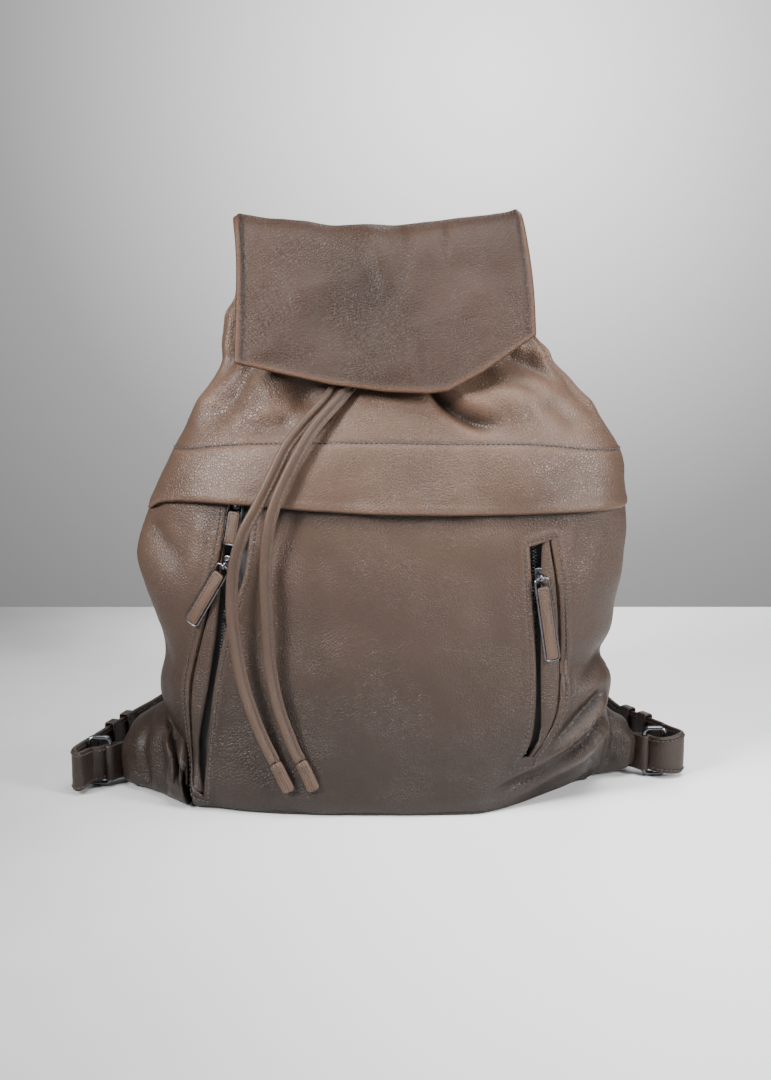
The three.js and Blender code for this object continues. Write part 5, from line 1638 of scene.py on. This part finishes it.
def area_light(name, place, aim, size, power, spread=180.0, color=(1, 1, 1)):
    light = bpy.data.lights.new(name, "AREA")
    light.shape, light.size, light.size_y, light.energy, light.color = "RECTANGLE", *size, power, color
    light.spread = math.radians(spread)
    made = bpy.data.objects.new(name, light)
    made.location = place
    direction = np.array(aim, float) - place
    made.rotation_euler = mathutils.Vector(direction).to_track_quat("-Z", "Y").to_euler()
    bpy.context.scene.collection.objects.link(made)


def floor_with_painted_shade():
    s = Shader("pale_floor")
    cloud = s.range(s.noise(s.places(), 3.0, 4.0), 0.3, 0.7)
    # Painted shade: the floor darkens towards the left.
    across = s.range(s.node("SeparateXYZ", {"Vector": s.places()}, output="X"), -0.42, 0.12)
    pale = s.mix(across, (0.22, 0.22, 0.22), (0.80, 0.80, 0.80))
    material = s.surface(Base_Color=s.mix(s.math("MULTIPLY", cloud, 0.3), pale, (0.8, 0.8, 0.8)),
                         Roughness=0.5)
    mesh = bpy.data.meshes.new("floor")
    corners = [(-FLOOR_REACH, FLOOR_FRONT, 0), (FLOOR_REACH, FLOOR_FRONT, 0),
               (FLOOR_REACH, FLOOR_BACK, 0), (-FLOOR_REACH, FLOOR_BACK, 0)]
    mesh.from_pydata(corners, [], [(0, 1, 2, 3)])
    mesh.materials.append(material)
    floor = bpy.data.objects.new("floor", mesh)
    bpy.context.scene.collection.objects.link(floor)


def pale_world():
    """A studio round the bag: a bright backdrop behind it, dark towards the camera's side."""
    world = bpy.data.worlds.new("studio")
    bpy.context.scene.world = world
    world.use_nodes = True
    tree = world.node_tree
    background = tree.nodes["Background"]
    where = tree.nodes.new("ShaderNodeTexCoord").outputs["Generated"]
    away = tree.nodes.new("ShaderNodeVectorMath")
    away.operation = "DISTANCE"
    away.inputs[1].default_value = (0.06, 0.985, 0.07)
    tree.links.new(where, away.inputs[0])
    background.inputs["Strength"].default_value = BACKDROP_STRENGTH
    ramp = tree.nodes.new("ShaderNodeValToRGB")
    ramp.color_ramp.interpolation = "B_SPLINE"
    stops = ((0.0, 1.0), (0.09, 0.72), (0.18, 0.40), (0.28, 0.18), (0.45, 0.09), (0.75, 0.055), (1.0, 0.04))
    for k, (place, value) in enumerate(stops):
        spot = ramp.color_ramp.elements[k] if k < 2 else ramp.color_ramp.elements.new(place)
        spot.position, spot.color = place, (value, value, value, 1)
    tree.links.new(away.outputs["Value"], ramp.inputs["Fac"])
    tree.links.new(ramp.outputs["Color"], background.inputs["Color"])


floor_with_painted_shade()
pale_world()
area_light("left_softbox", (-1.1, -0.95, 1.0), (-0.03, 0, 0.31), (0.45, 0.5), 6.4, 50)
area_light("right_softbox", (1.15, -0.75, 0.7), (0.03, 0, 0.26), (0.35, 0.5), 4.2, 60)
area_light("top_softbox", (0.25, -0.35, 1.5), (0.15, -0.05, 0.1), (1.1, 0.7), 38)
area_light("back_softbox", (0.45, 1.25, 1.0), (0, 0.1, 0.15), (0.8, 0.6), 7)
